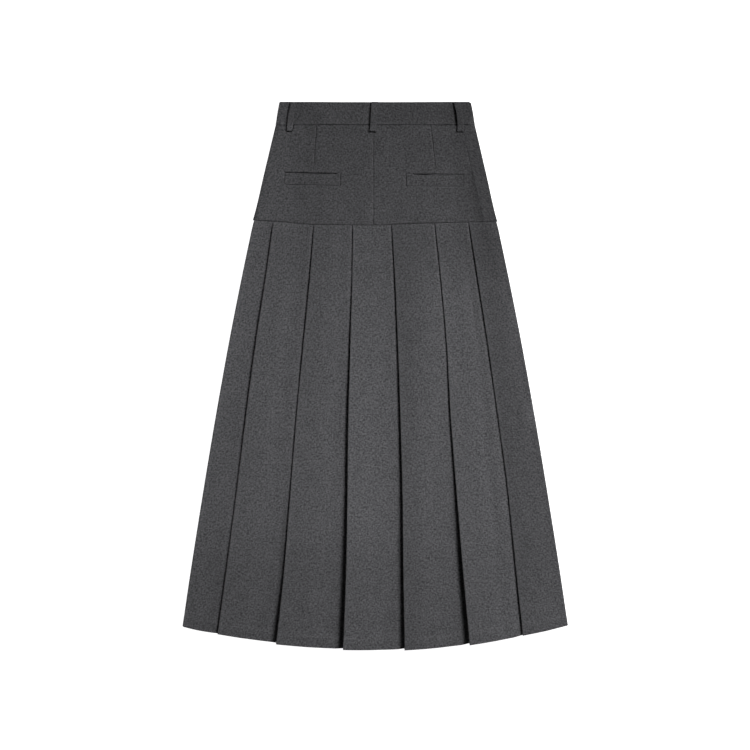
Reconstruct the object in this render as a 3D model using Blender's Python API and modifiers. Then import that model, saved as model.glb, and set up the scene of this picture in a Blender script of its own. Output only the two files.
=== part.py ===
"""A pleated maxi skirt lying flat on its front, with its back up.

Metres, +Z up, +X to the right and +Y towards the waist. The skirt lies on z = 0, and the origin is the middle of its
underside. A place on it is given as x, down (the way from the waistband's top edge towards the hem) and z.
Every cloth piece is an open middle surface, with Solidify giving the wall. Six knife pleats show on the back and six
lie on the front, and all of them turn the same way round the skirt.
"""

import math
from collections import namedtuple

import bmesh
import bpy
import numpy as np
from mathutils import Matrix, Vector

# Driving dimensions
LENGTH = 0.986  # waistband's top edge to the hem's lowest point
HEM_MIDDLE = 0.9852  # waistband's top edge to the hem line in the middle
CLOTH = 0.001
BAND_CLOTH = 0.0018  # the waistband is doubled and stiffened
LOOP_CLOTH = 0.0012
SEAM = 0.0003  # between two pieces sewn together
LAYER = CLOTH + 0.00035  # from one layer of a stack to the next
BAND_DEPTH = 0.0415
HEM_RISE = 0.0432  # how much higher the hem is at the sides than in the middle
YOKE_DEPTH = 0.2220  # waistband's top edge to the pleats, in the middle
YOKE_RISE = 0.0072
CENTRE_BACK = -0.0034

Width = namedtuple("Width", "down half")
WIDTHS = (
    Width(0.0000, 0.1727),
    Width(0.0415, 0.1795),
    Width(0.1270, 0.1991),
    Width(0.2130, 0.2184),
    Width(0.3640, 0.2503),
    Width(0.5370, 0.2824),
    Width(0.7100, 0.3115),
    Width(0.8830, 0.3383),
    Width(0.9425, 0.3464),
)
YOKE_HALF = WIDTHS[3].half
HEM_HALF = WIDTHS[-1].half

# A back pleat's folded edge, at the yoke and at the hem. It is the left edge of its panel, and lies on the next panel.
# Its lift is how far it stands off the next panel at the hem, and the power is how late on the way down it rises.
Pleat = namedtuple("Pleat", "yoke_x hem_x bow lift power")
BACK_PLEATS = (
    Pleat(-0.1828, -0.2830, -0.0031, 0.0020, 1.6),
    Pleat(-0.1098, -0.1777, -0.0005, 0.0080, 4.0),
    Pleat(-0.0399, -0.0574, -0.0004, 0.0118, 1.3),
    Pleat(0.0299, 0.0528, 0.0049, 0.0084, 1.2),
    Pleat(0.1077, 0.1696, 0.0004, 0.0114, 1.9),
    Pleat(0.1684, 0.2653, 0.0068, 0.0028, 2.0),
)
PLEAT_DEPTH = (0.031, 0.044)  # how far a pleat is folded under, at the yoke and at the hem
PLEAT_ROLL = (0.005, 0.014)  # how far from the next folded edge a panel starts to dip under it
HEM_STEP = 0.0018  # a panel's hem at its folded edge, below the next panel's
UNDER_HEM = -0.001  # hem of the layers that are folded under
LIFT_SHARE = (0.50, 0.77)  # how much of a folded edge's lift is left past the fold's depth, and half way there
FALL_START = 0.001  # on the front a panel leaves the stack this far past the folded edge
FALL = 0.008
ALONG = (0.0, 0.12, 0.28, 0.46, 0.64, 0.82, 1.0)  # rows of a pleated piece, yoke to hem

# Middle of the back layer above the table, at the side fold and half way across
Height = namedtuple("Height", "down side middle")
HEIGHTS = (
    Height(0.0000, 0.0033, 0.0060),
    Height(0.0415, 0.0033, 0.0060),
    Height(0.2130, 0.00455, 0.0069),
)
ACROSS = (0.0, 0.2, 0.4, 0.58, 0.74, 0.87, 1.0)  # columns of the back, centre seam to side fold
YOKE_ROWS = (0.0, 0.07, 0.18, 0.4, 0.7, 1.0)
SIDE_SEAM_IN = 0.025  # the right side seam, in from the side fold

Loop = namedtuple("Loop", "name top_x bottom_x")
BACK_LOOPS = (
    Loop("belt_loop_back_left", -0.1453, -0.1537),
    Loop("belt_loop_back_centre", -0.0005, -0.0037),
    Loop("belt_loop_back_right", 0.1472, 0.1534),
)
FRONT_LOOPS = (
    Loop("belt_loop_front_left", -0.1000, -0.1030),
    Loop("belt_loop_front_right", 0.1000, 0.1030),
)
LOOP_WIDTH = 0.011
LOOP_TOP = 0.002
LOOP_END = 0.0540
LOOP_SLACK = 0.0016  # how far the middle of a back loop stands off the waistband
LOOP_TACK = 0.004  # half the length of a tack
LOOP_RAMP = 0.011  # on the front the cloth climbs onto a loop over this much
LOOP_FADE = 0.020  # and settles again over this much below it
LOOP_RISE = LOOP_CLOTH + SEAM

# The middle, width and turn of the opening that the welt fills
Pocket = namedtuple("Pocket", "side x down width turn")
POCKETS = (Pocket("left", -0.1130, 0.1391, 0.1000, -1.4), Pocket("right", 0.1070, 0.1416, 0.1026, -0.6))
POCKET_HEIGHT = 0.0223
POCKET_SLIT = 0.0015

# The closed fly in the middle of the front: the right side lies over the left
LAP_CLEAR = 0.0015
YOKE_CLIMB = 0.005  # the left side starts to climb behind the right this far from its edge
BAND_CLIMB = 0.009
UNDERLAP = 0.012
BAND_UNDERLAP = 0.030
BAND_UNDERLAP_Z = 0.0039
ZIP_WIDTH = 0.022
ZIP_TOP = 0.0580
ZIP_END = 0.2050
SLIDER_SIZE = (0.006, 0.012, 0.0026)
HOOK_SIZE = (0.012, 0.014, 0.0006)
BAR_SIZE = (0.003, 0.014, 0.0006)
HOOK_X = 0.014
HOOK_DOWN = 0.0210

Finish = namedtuple("Finish", "colour roughness metallic")
SUITING = Finish((0.088, 0.089, 0.093), 0.9, 0.0)
TAPE = Finish((0.020, 0.020, 0.022), 0.8, 0.0)
STEEL = Finish((0.36, 0.36, 0.37), 0.35, 1.0)


def mix(a, b, t):
    return a + (b - a) * t


def half_width(down):
    return float(np.interp(down, [w.down for w in WIDTHS], [w.half for w in WIDTHS]))


def yoke_line(x):
    """How far down the seam between yoke and pleats is."""
    return YOKE_DEPTH - YOKE_RISE * min(1.0, abs(x) / YOKE_HALF) ** 2


def hem_line(x):
    return HEM_MIDDLE - HEM_RISE * (x / HEM_HALF) ** 2


def level(n):
    """Middle of the n-th layer of cloth above the table."""
    return CLOTH / 2 + n * LAYER


def place(x, down, z):
    return Vector((x, LENGTH / 2 - down, z))


def collection(name):
    made = bpy.data.collections.new(name)
    bpy.context.scene.collection.children.link(made)
    return made


def dress(name, finish):
    material = bpy.data.materials.new(f"{name}_finish")
    material.use_nodes = True
    shader = material.node_tree.nodes["Principled BSDF"]
    shader.inputs["Base Color"].default_value = (*finish.colour, 1.0)
    shader.inputs["Roughness"].default_value = finish.roughness
    shader.inputs["Metallic"].default_value = finish.metallic
    return material


def wall(name, rows, thickness, finish, pieces):
    """A cloth piece: rows of points on its middle surface, with half the wall on each side."""
    mesh = bpy.data.meshes.new(name)
    columns = len(rows[0])
    faces = [
        (i * columns + j, i * columns + j + 1, (i + 1) * columns + j + 1, (i + 1) * columns + j)
        for i in range(len(rows) - 1)
        for j in range(columns - 1)
    ]
    mesh.from_pydata([p for row in rows for p in row], [], faces)
    mesh.materials.append(dress(name, finish))
    piece = bpy.data.objects.new(name, mesh)
    pieces.objects.link(piece)
    shell = piece.modifiers.new("wall", "SOLIDIFY")
    shell.thickness = thickness
    shell.offset = 0.0
    shell.use_even_offset = True
    return piece


def plate(name, centre, size, bevel, finish, pieces):
    """A small flat block with its edges taken off."""
    mesh = bpy.data.meshes.new(name)
    block = bmesh.new()
    bmesh.ops.create_cube(block, size=1.0, matrix=Matrix.Diagonal((*size, 1.0)))
    block.to_mesh(mesh)
    block.free()
    mesh.materials.append(dress(name, finish))
    piece = bpy.data.objects.new(name, mesh)
    piece.location = centre
    pieces.objects.link(piece)
    edge = piece.modifiers.new("edge", "BEVEL")
    edge.width = bevel
    edge.segments = 1
    return piece


# Waistband and yoke


def back_height(across, down):
    """Middle of the back layer, with across running from 0 at the centre to 1 at a side fold."""
    downs = [h.down for h in HEIGHTS]
    side = np.interp(down, downs, [h.side for h in HEIGHTS])
    middle = np.interp(down, downs, [h.middle for h in HEIGHTS])
    return float(mix(middle, side, abs(across) ** 6))


def side_fold(down, thickness):
    """Radius of the side fold's middle line, and the x where the flat cloth runs into it."""
    radius = (back_height(1.0, down) - thickness / 2) / 2
    return radius, half_width(down) - thickness / 2 - radius


def turn(side, down, thickness, angles):
    """Points round a side fold. -90 is the front layer, 0 the outermost point and 90 the back layer."""
    radius, x = side_fold(down, thickness)
    z = thickness / 2 + radius
    return [
        (side * (x + radius * math.cos(math.radians(a))), z + radius * math.sin(math.radians(a))) for a in angles
    ]


def back_x(side, across, down, thickness):
    return mix(CENTRE_BACK, side * side_fold(down, thickness)[1], across)


def back_points(side, down, thickness, stations):
    return [(back_x(side, a, down, thickness), back_height(a, down)) for a in stations]


def loop_x(loop, down):
    """Middle of a belt loop, at one depth."""
    return mix(loop.top_x, loop.bottom_x, min(1.0, (down - LOOP_TOP) / (LOOP_END - LOOP_TOP)))


def share(value):
    return min(1.0, max(0.0, value))


def on_loop(x, down):
    """How much the front rises onto its two belt loops."""
    aside = min(abs(x - loop_x(loop, down)) for loop in FRONT_LOOPS)
    over = share(1.0 - (aside - LOOP_WIDTH / 2 - SEAM) / LOOP_RAMP)
    below = share(1.0 - (down - LOOP_END - 2 * CLOTH) / LOOP_FADE)
    return LOOP_RISE * over * below


def front_stations(down, inner, outer):
    """x of the front's columns: both sides of a belt loop, and its ramps."""
    middle = loop_x(FRONT_LOOPS[1], down)
    reach = LOOP_WIDTH / 2 + SEAM
    near = (middle - reach - LOOP_RAMP, middle - reach, middle + reach, middle + reach + LOOP_RAMP)
    return [inner, mix(inner, near[0], 0.5), *near, mix(near[3], outer, 0.5)]


def front_points(side, down, thickness, inner):
    """Front layer from inner to just before the side fold."""
    xs = front_stations(down, inner, side_fold(down, thickness)[1])
    return [(side * x, thickness / 2 + on_loop(side * x, down)) for x in xs]


def waistband_row(down):
    """One strip all round, from its outer end in the middle of the front to its inner end behind that."""
    t = BAND_CLOTH
    fold = (-90, -45, 0, 45)
    right = front_points(1, down, t, 0.0) + turn(1, down, t, fold)
    back = back_points(1, down, t, ACROSS[:0:-1]) + back_points(-1, down, t, ACROSS)
    left = turn(-1, down, t, fold[::-1]) + front_points(-1, down, t, BAND_CLIMB)[::-1]
    lap = [(-LAP_CLEAR, BAND_UNDERLAP_Z), (BAND_UNDERLAP, BAND_UNDERLAP_Z)]
    return right + back + left + lap


def waistband(pieces):
    rows = [[place(x, down, z) for x, z in waistband_row(down)] for down in (0.0, 0.02, BAND_DEPTH - SEAM)]
    wall("waistband", rows, BAND_CLOTH, SUITING, pieces)


def yoke_rows(section):
    """Rows of a yoke piece from the waistband to the pleats. Each column ends on the curved seam."""
    foot = section(YOKE_DEPTH - YOKE_RISE)
    rows = []
    for share in YOKE_ROWS:
        row = []
        for column, (foot_x, _) in enumerate(foot):
            down = mix(BAND_DEPTH, yoke_line(foot_x) - SEAM, share)
            x, z = section(down)[column]
            row.append(place(x, down, z))
        rows.append(row)
    return rows


def yoke_back_left(down):
    row = back_points(-1, down, CLOTH, ACROSS) + turn(-1, down, CLOTH, (45, 20, 8))
    row[0] = (CENTRE_BACK - SEAM / 2, row[0][1])
    return row


def right_seam(down):
    """Where across the back the right side seam lies."""
    whole = side_fold(down, CLOTH)[1] - CENTRE_BACK
    return 1.0 - (SIDE_SEAM_IN - (half_width(down) - side_fold(down, CLOTH)[1])) / whole


def yoke_back_right(down):
    seam = right_seam(down)
    row = back_points(1, down, CLOTH, (*ACROSS[:-2], seam))
    row[0] = (CENTRE_BACK + SEAM / 2, row[0][1])
    row[-1] = (row[-1][0] - SEAM, row[-1][1])
    return row


def yoke_front_right(down):
    """From the middle of the front, round the right side fold, to the seam on the back."""
    seam = right_seam(down)
    back = back_points(1, down, CLOTH, (1.0, (1.0 + seam) / 2, seam))
    return front_points(1, down, CLOTH, 0.0) + turn(1, down, CLOTH, (-90, -45, 0, 45)) + back


def yoke_front_left(down):
    """From the left side fold to the middle of the front, where it goes behind the right side."""
    lap = [(-LAP_CLEAR, level(1)), (UNDERLAP, level(1))]
    fold = turn(-1, down, CLOTH, (-8, -20, -45, -90))
    return fold + front_points(-1, down, CLOTH, YOKE_CLIMB)[::-1] + lap


def yoke(pieces, cutters):
    for name, section in (
        ("yoke_back_left", yoke_back_left),
        ("yoke_back_right", yoke_back_right),
        ("yoke_front_left", yoke_front_left),
        ("yoke_front_right", yoke_front_right),
    ):
        wall(name, yoke_rows(section), CLOTH, SUITING, pieces)
    for pocket in POCKETS:
        welt_pocket(pocket, pieces, cutters)


def yoke_point(x, down, out=0.0):
    """A point on the back yoke's middle surface, moved out."""
    side = -1 if x < CENTRE_BACK else 1
    whole = side * side_fold(down, CLOTH)[1] - CENTRE_BACK
    return place(x, down, back_height((x - CENTRE_BACK) / whole, down) + out)


def welt_pocket(pocket, pieces, cutters):
    """The opening through the yoke, and the welt that fills it up to the slit."""
    height = POCKET_HEIGHT
    cutter = plate(
        f"pocket_opening_{pocket.side}",
        yoke_point(pocket.x, pocket.down),
        (pocket.width, height, 0.004),
        0.0002,
        SUITING,
        cutters,
    )
    cutter.rotation_euler.z = math.radians(pocket.turn)
    cutter.hide_render = True
    cutter.display_type = "WIRE"
    opening = bpy.data.objects[f"yoke_back_{pocket.side}"].modifiers.new("pocket", "BOOLEAN")
    opening.object = cutter
    opening.solver = "EXACT"

    lean = Matrix.Rotation(math.radians(pocket.turn), 2)
    rows = []
    for v in (height / 2 - POCKET_SLIT, 0.0, SEAM - height / 2):
        row = []
        for u in np.linspace(SEAM - pocket.width / 2, pocket.width / 2 - SEAM, 6):
            at = lean @ Vector((u, v))
            row.append(yoke_point(pocket.x + at.x, pocket.down - at.y, out=0.0002))
        rows.append(row)
    wall(f"welt_{pocket.side}", rows, CLOTH, SUITING, pieces)


# Belt loops


def back_surface(x, down):
    """Outer side of the waistband, or of the yoke below it."""
    thickness = BAND_CLOTH if down <= BAND_DEPTH else CLOTH
    side = -1 if x < CENTRE_BACK else 1
    whole = side * side_fold(down, thickness)[1] - CENTRE_BACK
    return back_height((x - CENTRE_BACK) / whole, down) + thickness / 2


def belt_loop(loop, height, downs, pieces):
    """A folded strip, tacked near the waistband's top edge and below its seam."""
    rows = []
    for down in downs:
        middle = loop_x(loop, down)
        z = height(middle, down)
        rows.append([place(middle + u * LOOP_WIDTH / 2, down, z) for u in (-1.0, 0.0, 1.0)])
    wall(loop.name, rows, LOOP_CLOTH, SUITING, pieces)


def over_back(x, down):
    """Middle of a back loop: down on the cloth at both tacks, and off the waistband between them."""
    rest = SEAM + LOOP_CLOTH / 2
    slack_start = LOOP_TOP + LOOP_TACK
    slack_end = BAND_DEPTH + LOOP_TACK
    if down > slack_end:
        return back_surface(x, down) + rest
    off = math.sin(math.pi * share((down - slack_start) / (slack_end - slack_start)))
    return back_surface(x, min(down, BAND_DEPTH)) + rest + LOOP_SLACK * off


def belt_loops(pieces):
    slack = np.linspace(LOOP_TOP + LOOP_TACK, BAND_DEPTH + LOOP_TACK + SEAM, 7)
    for loop in BACK_LOOPS:
        belt_loop(loop, over_back, (LOOP_TOP, *slack, LOOP_END), pieces)
    for loop in FRONT_LOOPS:
        belt_loop(loop, lambda x, down: LOOP_CLOTH / 2, (LOOP_TOP, LOOP_END), pieces)


# Pleats


def back_fold(pleat, along):
    return mix(pleat.yoke_x, pleat.hem_x, along) + pleat.bow * 4 * along * (1 - along)


def front_fold(number, along):
    """Folded edge of a front pleat, counted from the left. The pleats are even all round the skirt."""
    edges = []
    for down, first in ((YOKE_DEPTH - YOKE_RISE, BACK_PLEATS[0].yoke_x), (hem_line(HEM_HALF), BACK_PLEATS[0].hem_x)):
        half = half_width(down)
        pitch = 4 * half / 12
        edges.append(pitch - (first + half) - half + number * pitch)
    return mix(*edges, along)


def strip_edge(along):
    """Half the width of the pleated part, taken down the side."""
    return half_width(mix(YOKE_DEPTH - YOKE_RISE, hem_line(HEM_HALF), along))


def nose(x, way, low, high):
    """A fold between two layers, with its tip at x and pointing way, from the layer at low to the one at high."""
    reach = abs(high - low) / 2
    tip = x - way * CLOTH / 2
    return [(tip - way * reach, low), (tip, (low + high) / 2), (tip - way * reach, high)]


def pleat_turn(side, along):
    """Round a side fold of the pleated part, from the front layer to the back one."""
    radius = (level(3) - level(0)) / 2
    x = strip_edge(along) - CLOTH / 2 - radius
    return [
        (side * (x + radius * math.cos(math.radians(a))), level(0) + radius + radius * math.sin(math.radians(a)))
        for a in (-90, -45, 0, 45, 90)
    ]


def front_fall(fold_x):
    """A front panel comes down from its pleat's stack to the table."""
    return [(fold_x + FALL_START, level(2)), (fold_x + FALL_START + FALL, level(0))]


def pleats_back_row(along):
    """From the seam hidden in the last front pleat, round the right side, and over the back to its first pleat.
    Each point is x, z and how far its hem drops below the hem line."""
    depth = mix(*PLEAT_DEPTH, along)
    roll = mix(*PLEAT_ROLL, along)
    last = front_fold(5, along)
    row = [(last - depth, level(2)), *front_fall(last)]
    row = [(x, z, 0.0) for x, z in row + pleat_turn(1, along)]
    for number in range(5, -1, -1):
        pleat = BACK_PLEATS[number]
        x = back_fold(pleat, along)
        lift = pleat.lift * along**pleat.power
        if number < 5:
            near = back_fold(BACK_PLEATS[number + 1], along)
            row.append((near + depth / 2, level(3), UNDER_HEM))
            row.append((near - 1.5 * CLOTH, level(3), UNDER_HEM / 2))
            row.append((near - roll, level(5), 0.0))
        row.append((x + depth + 1.5 * CLOTH, level(5) + LIFT_SHARE[0] * lift, HEM_STEP * 0.3))
        row.append((x + depth / 2, level(5) + LIFT_SHARE[1] * lift, HEM_STEP * 0.7))
        row += [(*p, HEM_STEP) for p in nose(x, -1, level(5) + lift, level(4) + lift)]
        if number:
            row += [(*p, UNDER_HEM) for p in nose(x + depth, 1, level(4), level(3))]
        else:
            row.append((x + depth, level(4), UNDER_HEM))
    return row


def pleats_front_row(along):
    """From the seam hidden in the first back pleat, round the left side, and over the front to its last pleat."""
    depth = mix(*PLEAT_DEPTH, along)
    first = back_fold(BACK_PLEATS[0], along)
    row = [(first + depth, level(3), UNDER_HEM), (first - 2 * CLOTH, level(3), 0.0)]
    row += [(*p, 0.0) for p in pleat_turn(-1, along)[::-1]]
    for number in range(6):
        x = front_fold(number, along)
        row.append((x - depth - 4 * CLOTH, level(0), 0.0))
        row += [(*p, 0.0) for p in nose(x, 1, level(0), level(1))]
        if number < 5:
            row += [(*p, UNDER_HEM) for p in nose(x - depth, -1, level(1), level(2))]
            row += [(*p, 0.0) for p in front_fall(x)]
        else:
            row.append((x - depth, level(1), UNDER_HEM))
    return row


def pleats(pieces):
    for name, section in (("pleats_back", pleats_back_row), ("pleats_front", pleats_front_row)):
        head, hem = section(0.0), section(1.0)
        rows = []
        for along in ALONG:
            row = []
            for column, (x, z, _) in enumerate(section(along)):
                top = yoke_line(head[column][0])
                bottom = hem_line(hem[column][0]) + hem[column][2]
                row.append(place(x, mix(top, bottom, along), z))
            rows.append(row)
        wall(name, rows, CLOTH, SUITING, pieces)


# Closure behind the front's fly


def closure(pieces):
    tape_x = (UNDERLAP + SEAM, UNDERLAP + SEAM + ZIP_WIDTH)
    rows = [[place(x, down, level(1)) for x in np.linspace(*tape_x, 3)] for down in (ZIP_TOP, ZIP_END)]
    wall("fly_zip", rows, CLOTH, TAPE, pieces)
    slider = place(sum(tape_x) / 2, ZIP_TOP - SEAM - SLIDER_SIZE[1] / 2, CLOTH + SEAM + SLIDER_SIZE[2] / 2)
    plate("fly_zip_slider", slider, SLIDER_SIZE, 0.0005, STEEL, pieces)
    hook_z = (BAND_CLOTH + BAND_UNDERLAP_Z - BAND_CLOTH / 2) / 2
    plate("waist_hook", place(HOOK_X, HOOK_DOWN, hook_z), HOOK_SIZE, 0.0001, STEEL, pieces)
    bar_x = HOOK_X + HOOK_SIZE[0] / 2 + SEAM + BAR_SIZE[0] / 2
    plate("waist_bar", place(bar_x, HOOK_DOWN, hook_z), BAR_SIZE, 0.0001, STEEL, pieces)


def main():
    for old in list(bpy.data.objects):
        bpy.data.objects.remove(old)
    pieces = collection("pleated_maxi_skirt")
    cutters = collection("cutters")
    waistband(pieces)
    yoke(pieces, cutters)
    belt_loops(pieces)
    pleats(pieces)
    closure(pieces)


main()
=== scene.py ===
from math import cos, pi, radians, sin

import bpy
import numpy as np
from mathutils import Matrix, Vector


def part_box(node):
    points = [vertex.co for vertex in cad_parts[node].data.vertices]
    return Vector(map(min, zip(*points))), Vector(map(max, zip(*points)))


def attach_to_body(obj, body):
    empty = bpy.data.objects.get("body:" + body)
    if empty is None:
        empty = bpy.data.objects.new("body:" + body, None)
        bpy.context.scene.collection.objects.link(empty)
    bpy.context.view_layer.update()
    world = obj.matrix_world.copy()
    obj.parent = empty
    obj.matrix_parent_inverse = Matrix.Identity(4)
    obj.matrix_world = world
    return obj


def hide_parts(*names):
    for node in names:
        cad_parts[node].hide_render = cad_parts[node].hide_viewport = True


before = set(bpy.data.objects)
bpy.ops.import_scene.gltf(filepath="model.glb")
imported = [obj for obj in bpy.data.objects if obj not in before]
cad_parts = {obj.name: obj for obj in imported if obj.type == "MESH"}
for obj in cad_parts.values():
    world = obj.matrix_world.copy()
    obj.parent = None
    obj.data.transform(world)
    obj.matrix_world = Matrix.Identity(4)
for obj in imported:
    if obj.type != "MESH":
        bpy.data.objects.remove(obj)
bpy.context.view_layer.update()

scene = bpy.context.scene

# The skirt lies on its front with its back up: X right, Y towards the waist, Z up from the table.
# A place on it is x, the way down from the waistband's top edge, and the height of the cloth's middle.

skirt = {
    "length": 0.986,
    "cloth": 0.0008,        # thickness that shows
    "cadCloth": 0.001,      # thickness that the layers are spaced for
    "layer": 0.00135,       # from one layer of a stack to the next
    "seamGap": 0.0003,
    "bandDepth": 0.0415,
    "yokeDepth": 0.2201, "yokeRise": 0.0072, "yokeHalf": 0.2182,
    "yokeWave": (           # how the yoke seam wanders, in millimetres
        (-0.22, 0.4), (-0.165, 1.2), (-0.13, 3.2), (-0.087, 2.9), (-0.053, 2.4), (-0.02, 2.7), (0.017, 2.2),
        (0.053, 0.7), (0.09, 0.5), (0.13, 1.0), (0.16, 1.3), (0.22, 2.9),
    ),
    "hemMiddle": 0.9848, "hemRise": 0.0432, "hemHalf": 0.3458,
    "centreBack": -0.0034,
    "outline": (            # way down, half the width
        (0.0, 0.1719), (0.0415, 0.1789), (0.127, 0.199), (0.213, 0.2182), (0.364, 0.2497),
        (0.537, 0.2815), (0.71, 0.3107), (0.883, 0.3379), (0.9425, 0.3458),
    ),
    "outlineWave": (        # way down, and how far the edge strays outwards there in millimetres
        (0.0, 0.8), (0.018, 1.1), (0.039, 0.6), (0.061, 1.0), (0.082, 0.8), (0.104, 0.3), (0.147, -0.1),
        (0.19, -0.4), (0.207, -0.1), (0.224, 0.75), (0.245, 0.75), (0.3, 0.7), (0.36, 0.7), (0.42, 0.9),
        (0.7, 0.8), (0.88, 0.5), (0.945, 1.2),
    ),
    "sideHeight": ((0.0, 0.0033), (0.0415, 0.0033), (0.213, 0.00455)),      # way down, back layer's middle
    "middleHeight": ((0.0, 0.006), (0.0415, 0.006), (0.213, 0.0069)),
    "sideSeamIn": 0.025,
}
cloth, wall, layer = skirt["cloth"], skirt["cadCloth"], skirt["layer"]
centreBack, sideSeamIn, halfGap = skirt["centreBack"], skirt["sideSeamIn"], skirt["seamGap"] / 2
bandDepth = skirt["bandDepth"]
bandEnd = bandDepth + skirt["seamGap"]
ways = {"left": -1, "right": 1}

paintedLightTable = {        # painted light and shade over the whole cloth
    "yokeFrom": (0.036, 0.048),         # on the way down
    "pleatsFrom": (0.19, 0.24),
    "left": (0.34, 0.3, 0.12),         # painted light at the left side: waistband, yoke, pleats
    "leftFrom": (0.8, 0.6),           # share of half the width where it starts: waistband, below it
    "leftReach": (0.14, 0.3),
    "leftGone": (0.66, 0.31),
    "right": (0.24, 0.22),              # painted shade at the right side: above, pleats
    "rightFrom": (0.6, 0.62),
    "rightReach": 0.3,
    "rightGone": (0.98, 0.58),
    # painted light and shade: how much lighter, from where to where that comes across (in half widths), and comes and
    # goes down
    "shades": (
        (-0.1, (-0.05, 0.15), (-9, -8), (0.048, 0.036)), (-0.12, (0.2, 0.5), (0.19, 0.24), (0.36, 0.24)),
        (0.06, (-9, -8), (0.27, 0.37), (0.84, 0.74)), (-0.09, (0.35, -0.15), (0.76, 0.86), (9, 8)),
        (0.09, (0.45, 0.8), (0.84, 0.94), (9, 8)),
    ),
    # patches of painted light and shade: x, way down, reach across, reach down, and how much lighter
    "places": (
        (-0.077, 0.018, 0.042, 0.03, 0.12), (-0.145, 0.04, 0.015, 0.055, -0.07), (0.16, 0.018, 0.02, 0.035, 0.08),
        (0.095, 0.085, 0.048, 0.045, -0.11), (-0.085, 0.062, 0.03, 0.03, 0.07), (-0.09, 0.178, 0.075, 0.045, 0.06),
        (-0.005, 0.19, 0.035, 0.03, 0.07), (0.13, 0.203, 0.06, 0.02, 0.08), (0.19, 0.14, 0.03, 0.09, -0.07),
        (0.071, 0.213, 0.014, 0.012, -0.2), (-0.146, 0.199, 0.016, 0.014, 0.2), (0.179, 0.04, 0.014, 0.02, 0.24),
        (0.282, 0.556, 0.018, 0.045, 0.24), (0.25, 0.378, 0.016, 0.034, 0.18), (0.114, 0.047, 0.012, 0.016, -0.1),
    ),
}


# Small tools

def mixed(a, b, t):
    return a + (b - a) * t


def eased(t):
    t = np.clip(t, 0.0, 1.0)
    return t * t * (3.0 - 2.0 * t)


def fade(value, start, end):
    return eased((value - start) / (end - start))


def bell(distance, reach):
    return np.clip(1.0 - (distance / reach) ** 2, 0.0, 1.0) ** 2


def ridge(distance, high, middle, reach):       # soft ridge or groove along a seam or a fold
    return high * bell(distance - middle, reach)


def turnedDown(distance, drop, reach):      # an edge that turns down into a seam
    return drop * np.clip(1 - distance / reach, 0, 1) ** 2


def along(table, x):
    return np.interp(x, *np.array(table).T)


def curveThrough(x, table):     # smooth curve through a short table of points
    xs, ys = np.array(table).T
    slopes = np.gradient(ys, xs)
    i = np.clip(np.searchsorted(xs, x) - 1, 0, len(xs) - 2)
    step = xs[i + 1] - xs[i]
    t = np.clip((x - xs[i]) / step, 0.0, 1.0)
    ends = ys[i] * (1 + 2 * t) * (1 - t) ** 2 + ys[i + 1] * t * t * (3 - 2 * t)
    return ends + step * (slopes[i] * t * (1 - t) ** 2 - slopes[i + 1] * t * t * (1 - t))


def ripple(x, y, sizeX, sizeY, seed, waves=9):      # soft uneven waves, about -1 to 1
    draw = np.random.default_rng(seed)
    total = 0.0
    for _ in range(waves):
        heading, phase, pitch = draw.uniform(0, pi), draw.uniform(0, 2 * pi), draw.uniform(0.8, 2.2)
        turnX, turnY = cos(heading) / (pitch * sizeX), sin(heading) / (pitch * sizeY)
        total = total + np.sin(2 * pi * (x * turnX + y * turnY) + phase)
    return total / waves ** 0.5


def stations(length, spacing, near=(), far=()):     # shares of a length, closer together at its ends
    middle = np.linspace(0.0, length, max(2, int(round(length / spacing)) + 1))
    lowest, highest = (max(near) if near else 0.0), length - (max(far) if far else 0.0)
    middle = middle[(middle > lowest + spacing * 0.3) & (middle < highest - spacing * 0.3)]
    return np.concatenate([[0.0], sorted(near), middle, sorted(length - f for f in far), [length]]) / length


def travelled(points):      # length along each row of points
    steps = np.linalg.norm(np.diff(points, axis=1), axis=-1)
    return np.concatenate([np.zeros((len(points), 1)), np.cumsum(steps, axis=1)], axis=1)


def halfWidth(down):
    return curveThrough(down, skirt["outline"]) + 0.001 * curveThrough(down, skirt["outlineWave"])


def yokeLine(x):
    wave = curveThrough(np.clip(x, -0.22, 0.22), skirt["yokeWave"])
    rise = skirt["yokeRise"] * np.minimum(1.0, np.abs(x) / skirt["yokeHalf"]) ** 2
    return skirt["yokeDepth"] - rise + 0.001 * wave


def hemLine(x):
    return skirt["hemMiddle"] - skirt["hemRise"] * (x / skirt["hemHalf"]) ** 2


def level(n):       # middle of the n-th layer above the table
    return wall / 2 + n * layer


def stacked(*values):
    return np.stack(np.broadcast_arrays(*values), axis=-1)


def place(x, down, z):
    return stacked(x, skirt["length"] / 2 - down, z)


def paintedLightAt(x, down):       # painted light and shade from place to place
    across = x / halfWidth(down)
    onYoke, onPleats = fade(down, *paintedLightTable["yokeFrom"]), fade(down, *paintedLightTable["pleatsFrom"])
    left = mixed(mixed(*paintedLightTable["left"][:2], onYoke), paintedLightTable["left"][2], onPleats) * fade(down, *paintedLightTable["leftGone"])
    left = left * eased((-across - mixed(*paintedLightTable["leftFrom"], onYoke)) / mixed(*paintedLightTable["leftReach"], onYoke))
    right = mixed(*paintedLightTable["right"], onPleats) * fade(down, *paintedLightTable["rightGone"])
    right = right * eased((across - mixed(*paintedLightTable["rightFrom"], onPleats)) / paintedLightTable["rightReach"])
    light = 1 + left - right
    for lighter, comesAcross, comes, goes in paintedLightTable["shades"]:
        light = light + lighter * fade(across, *comesAcross) * fade(down, *comes) * fade(down, *goes)
    for placeX, placeDown, reachX, reachDown, lighter in paintedLightTable["places"]:
        light = light + lighter * bell(np.hypot((x - placeX) / reachX, (down - placeDown) / reachDown), 1.0)
    return light


def backHeight(across, down):
    return mixed(along(skirt["middleHeight"], down), along(skirt["sideHeight"], down), np.abs(across) ** 6)


def sideFold(down, thickness=wall):     # radius of the side fold, and the x where the flat cloth runs into it
    radius = (backHeight(1.0, down) - thickness / 2) / 2
    return radius, halfWidth(down) - thickness / 2 - radius


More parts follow.
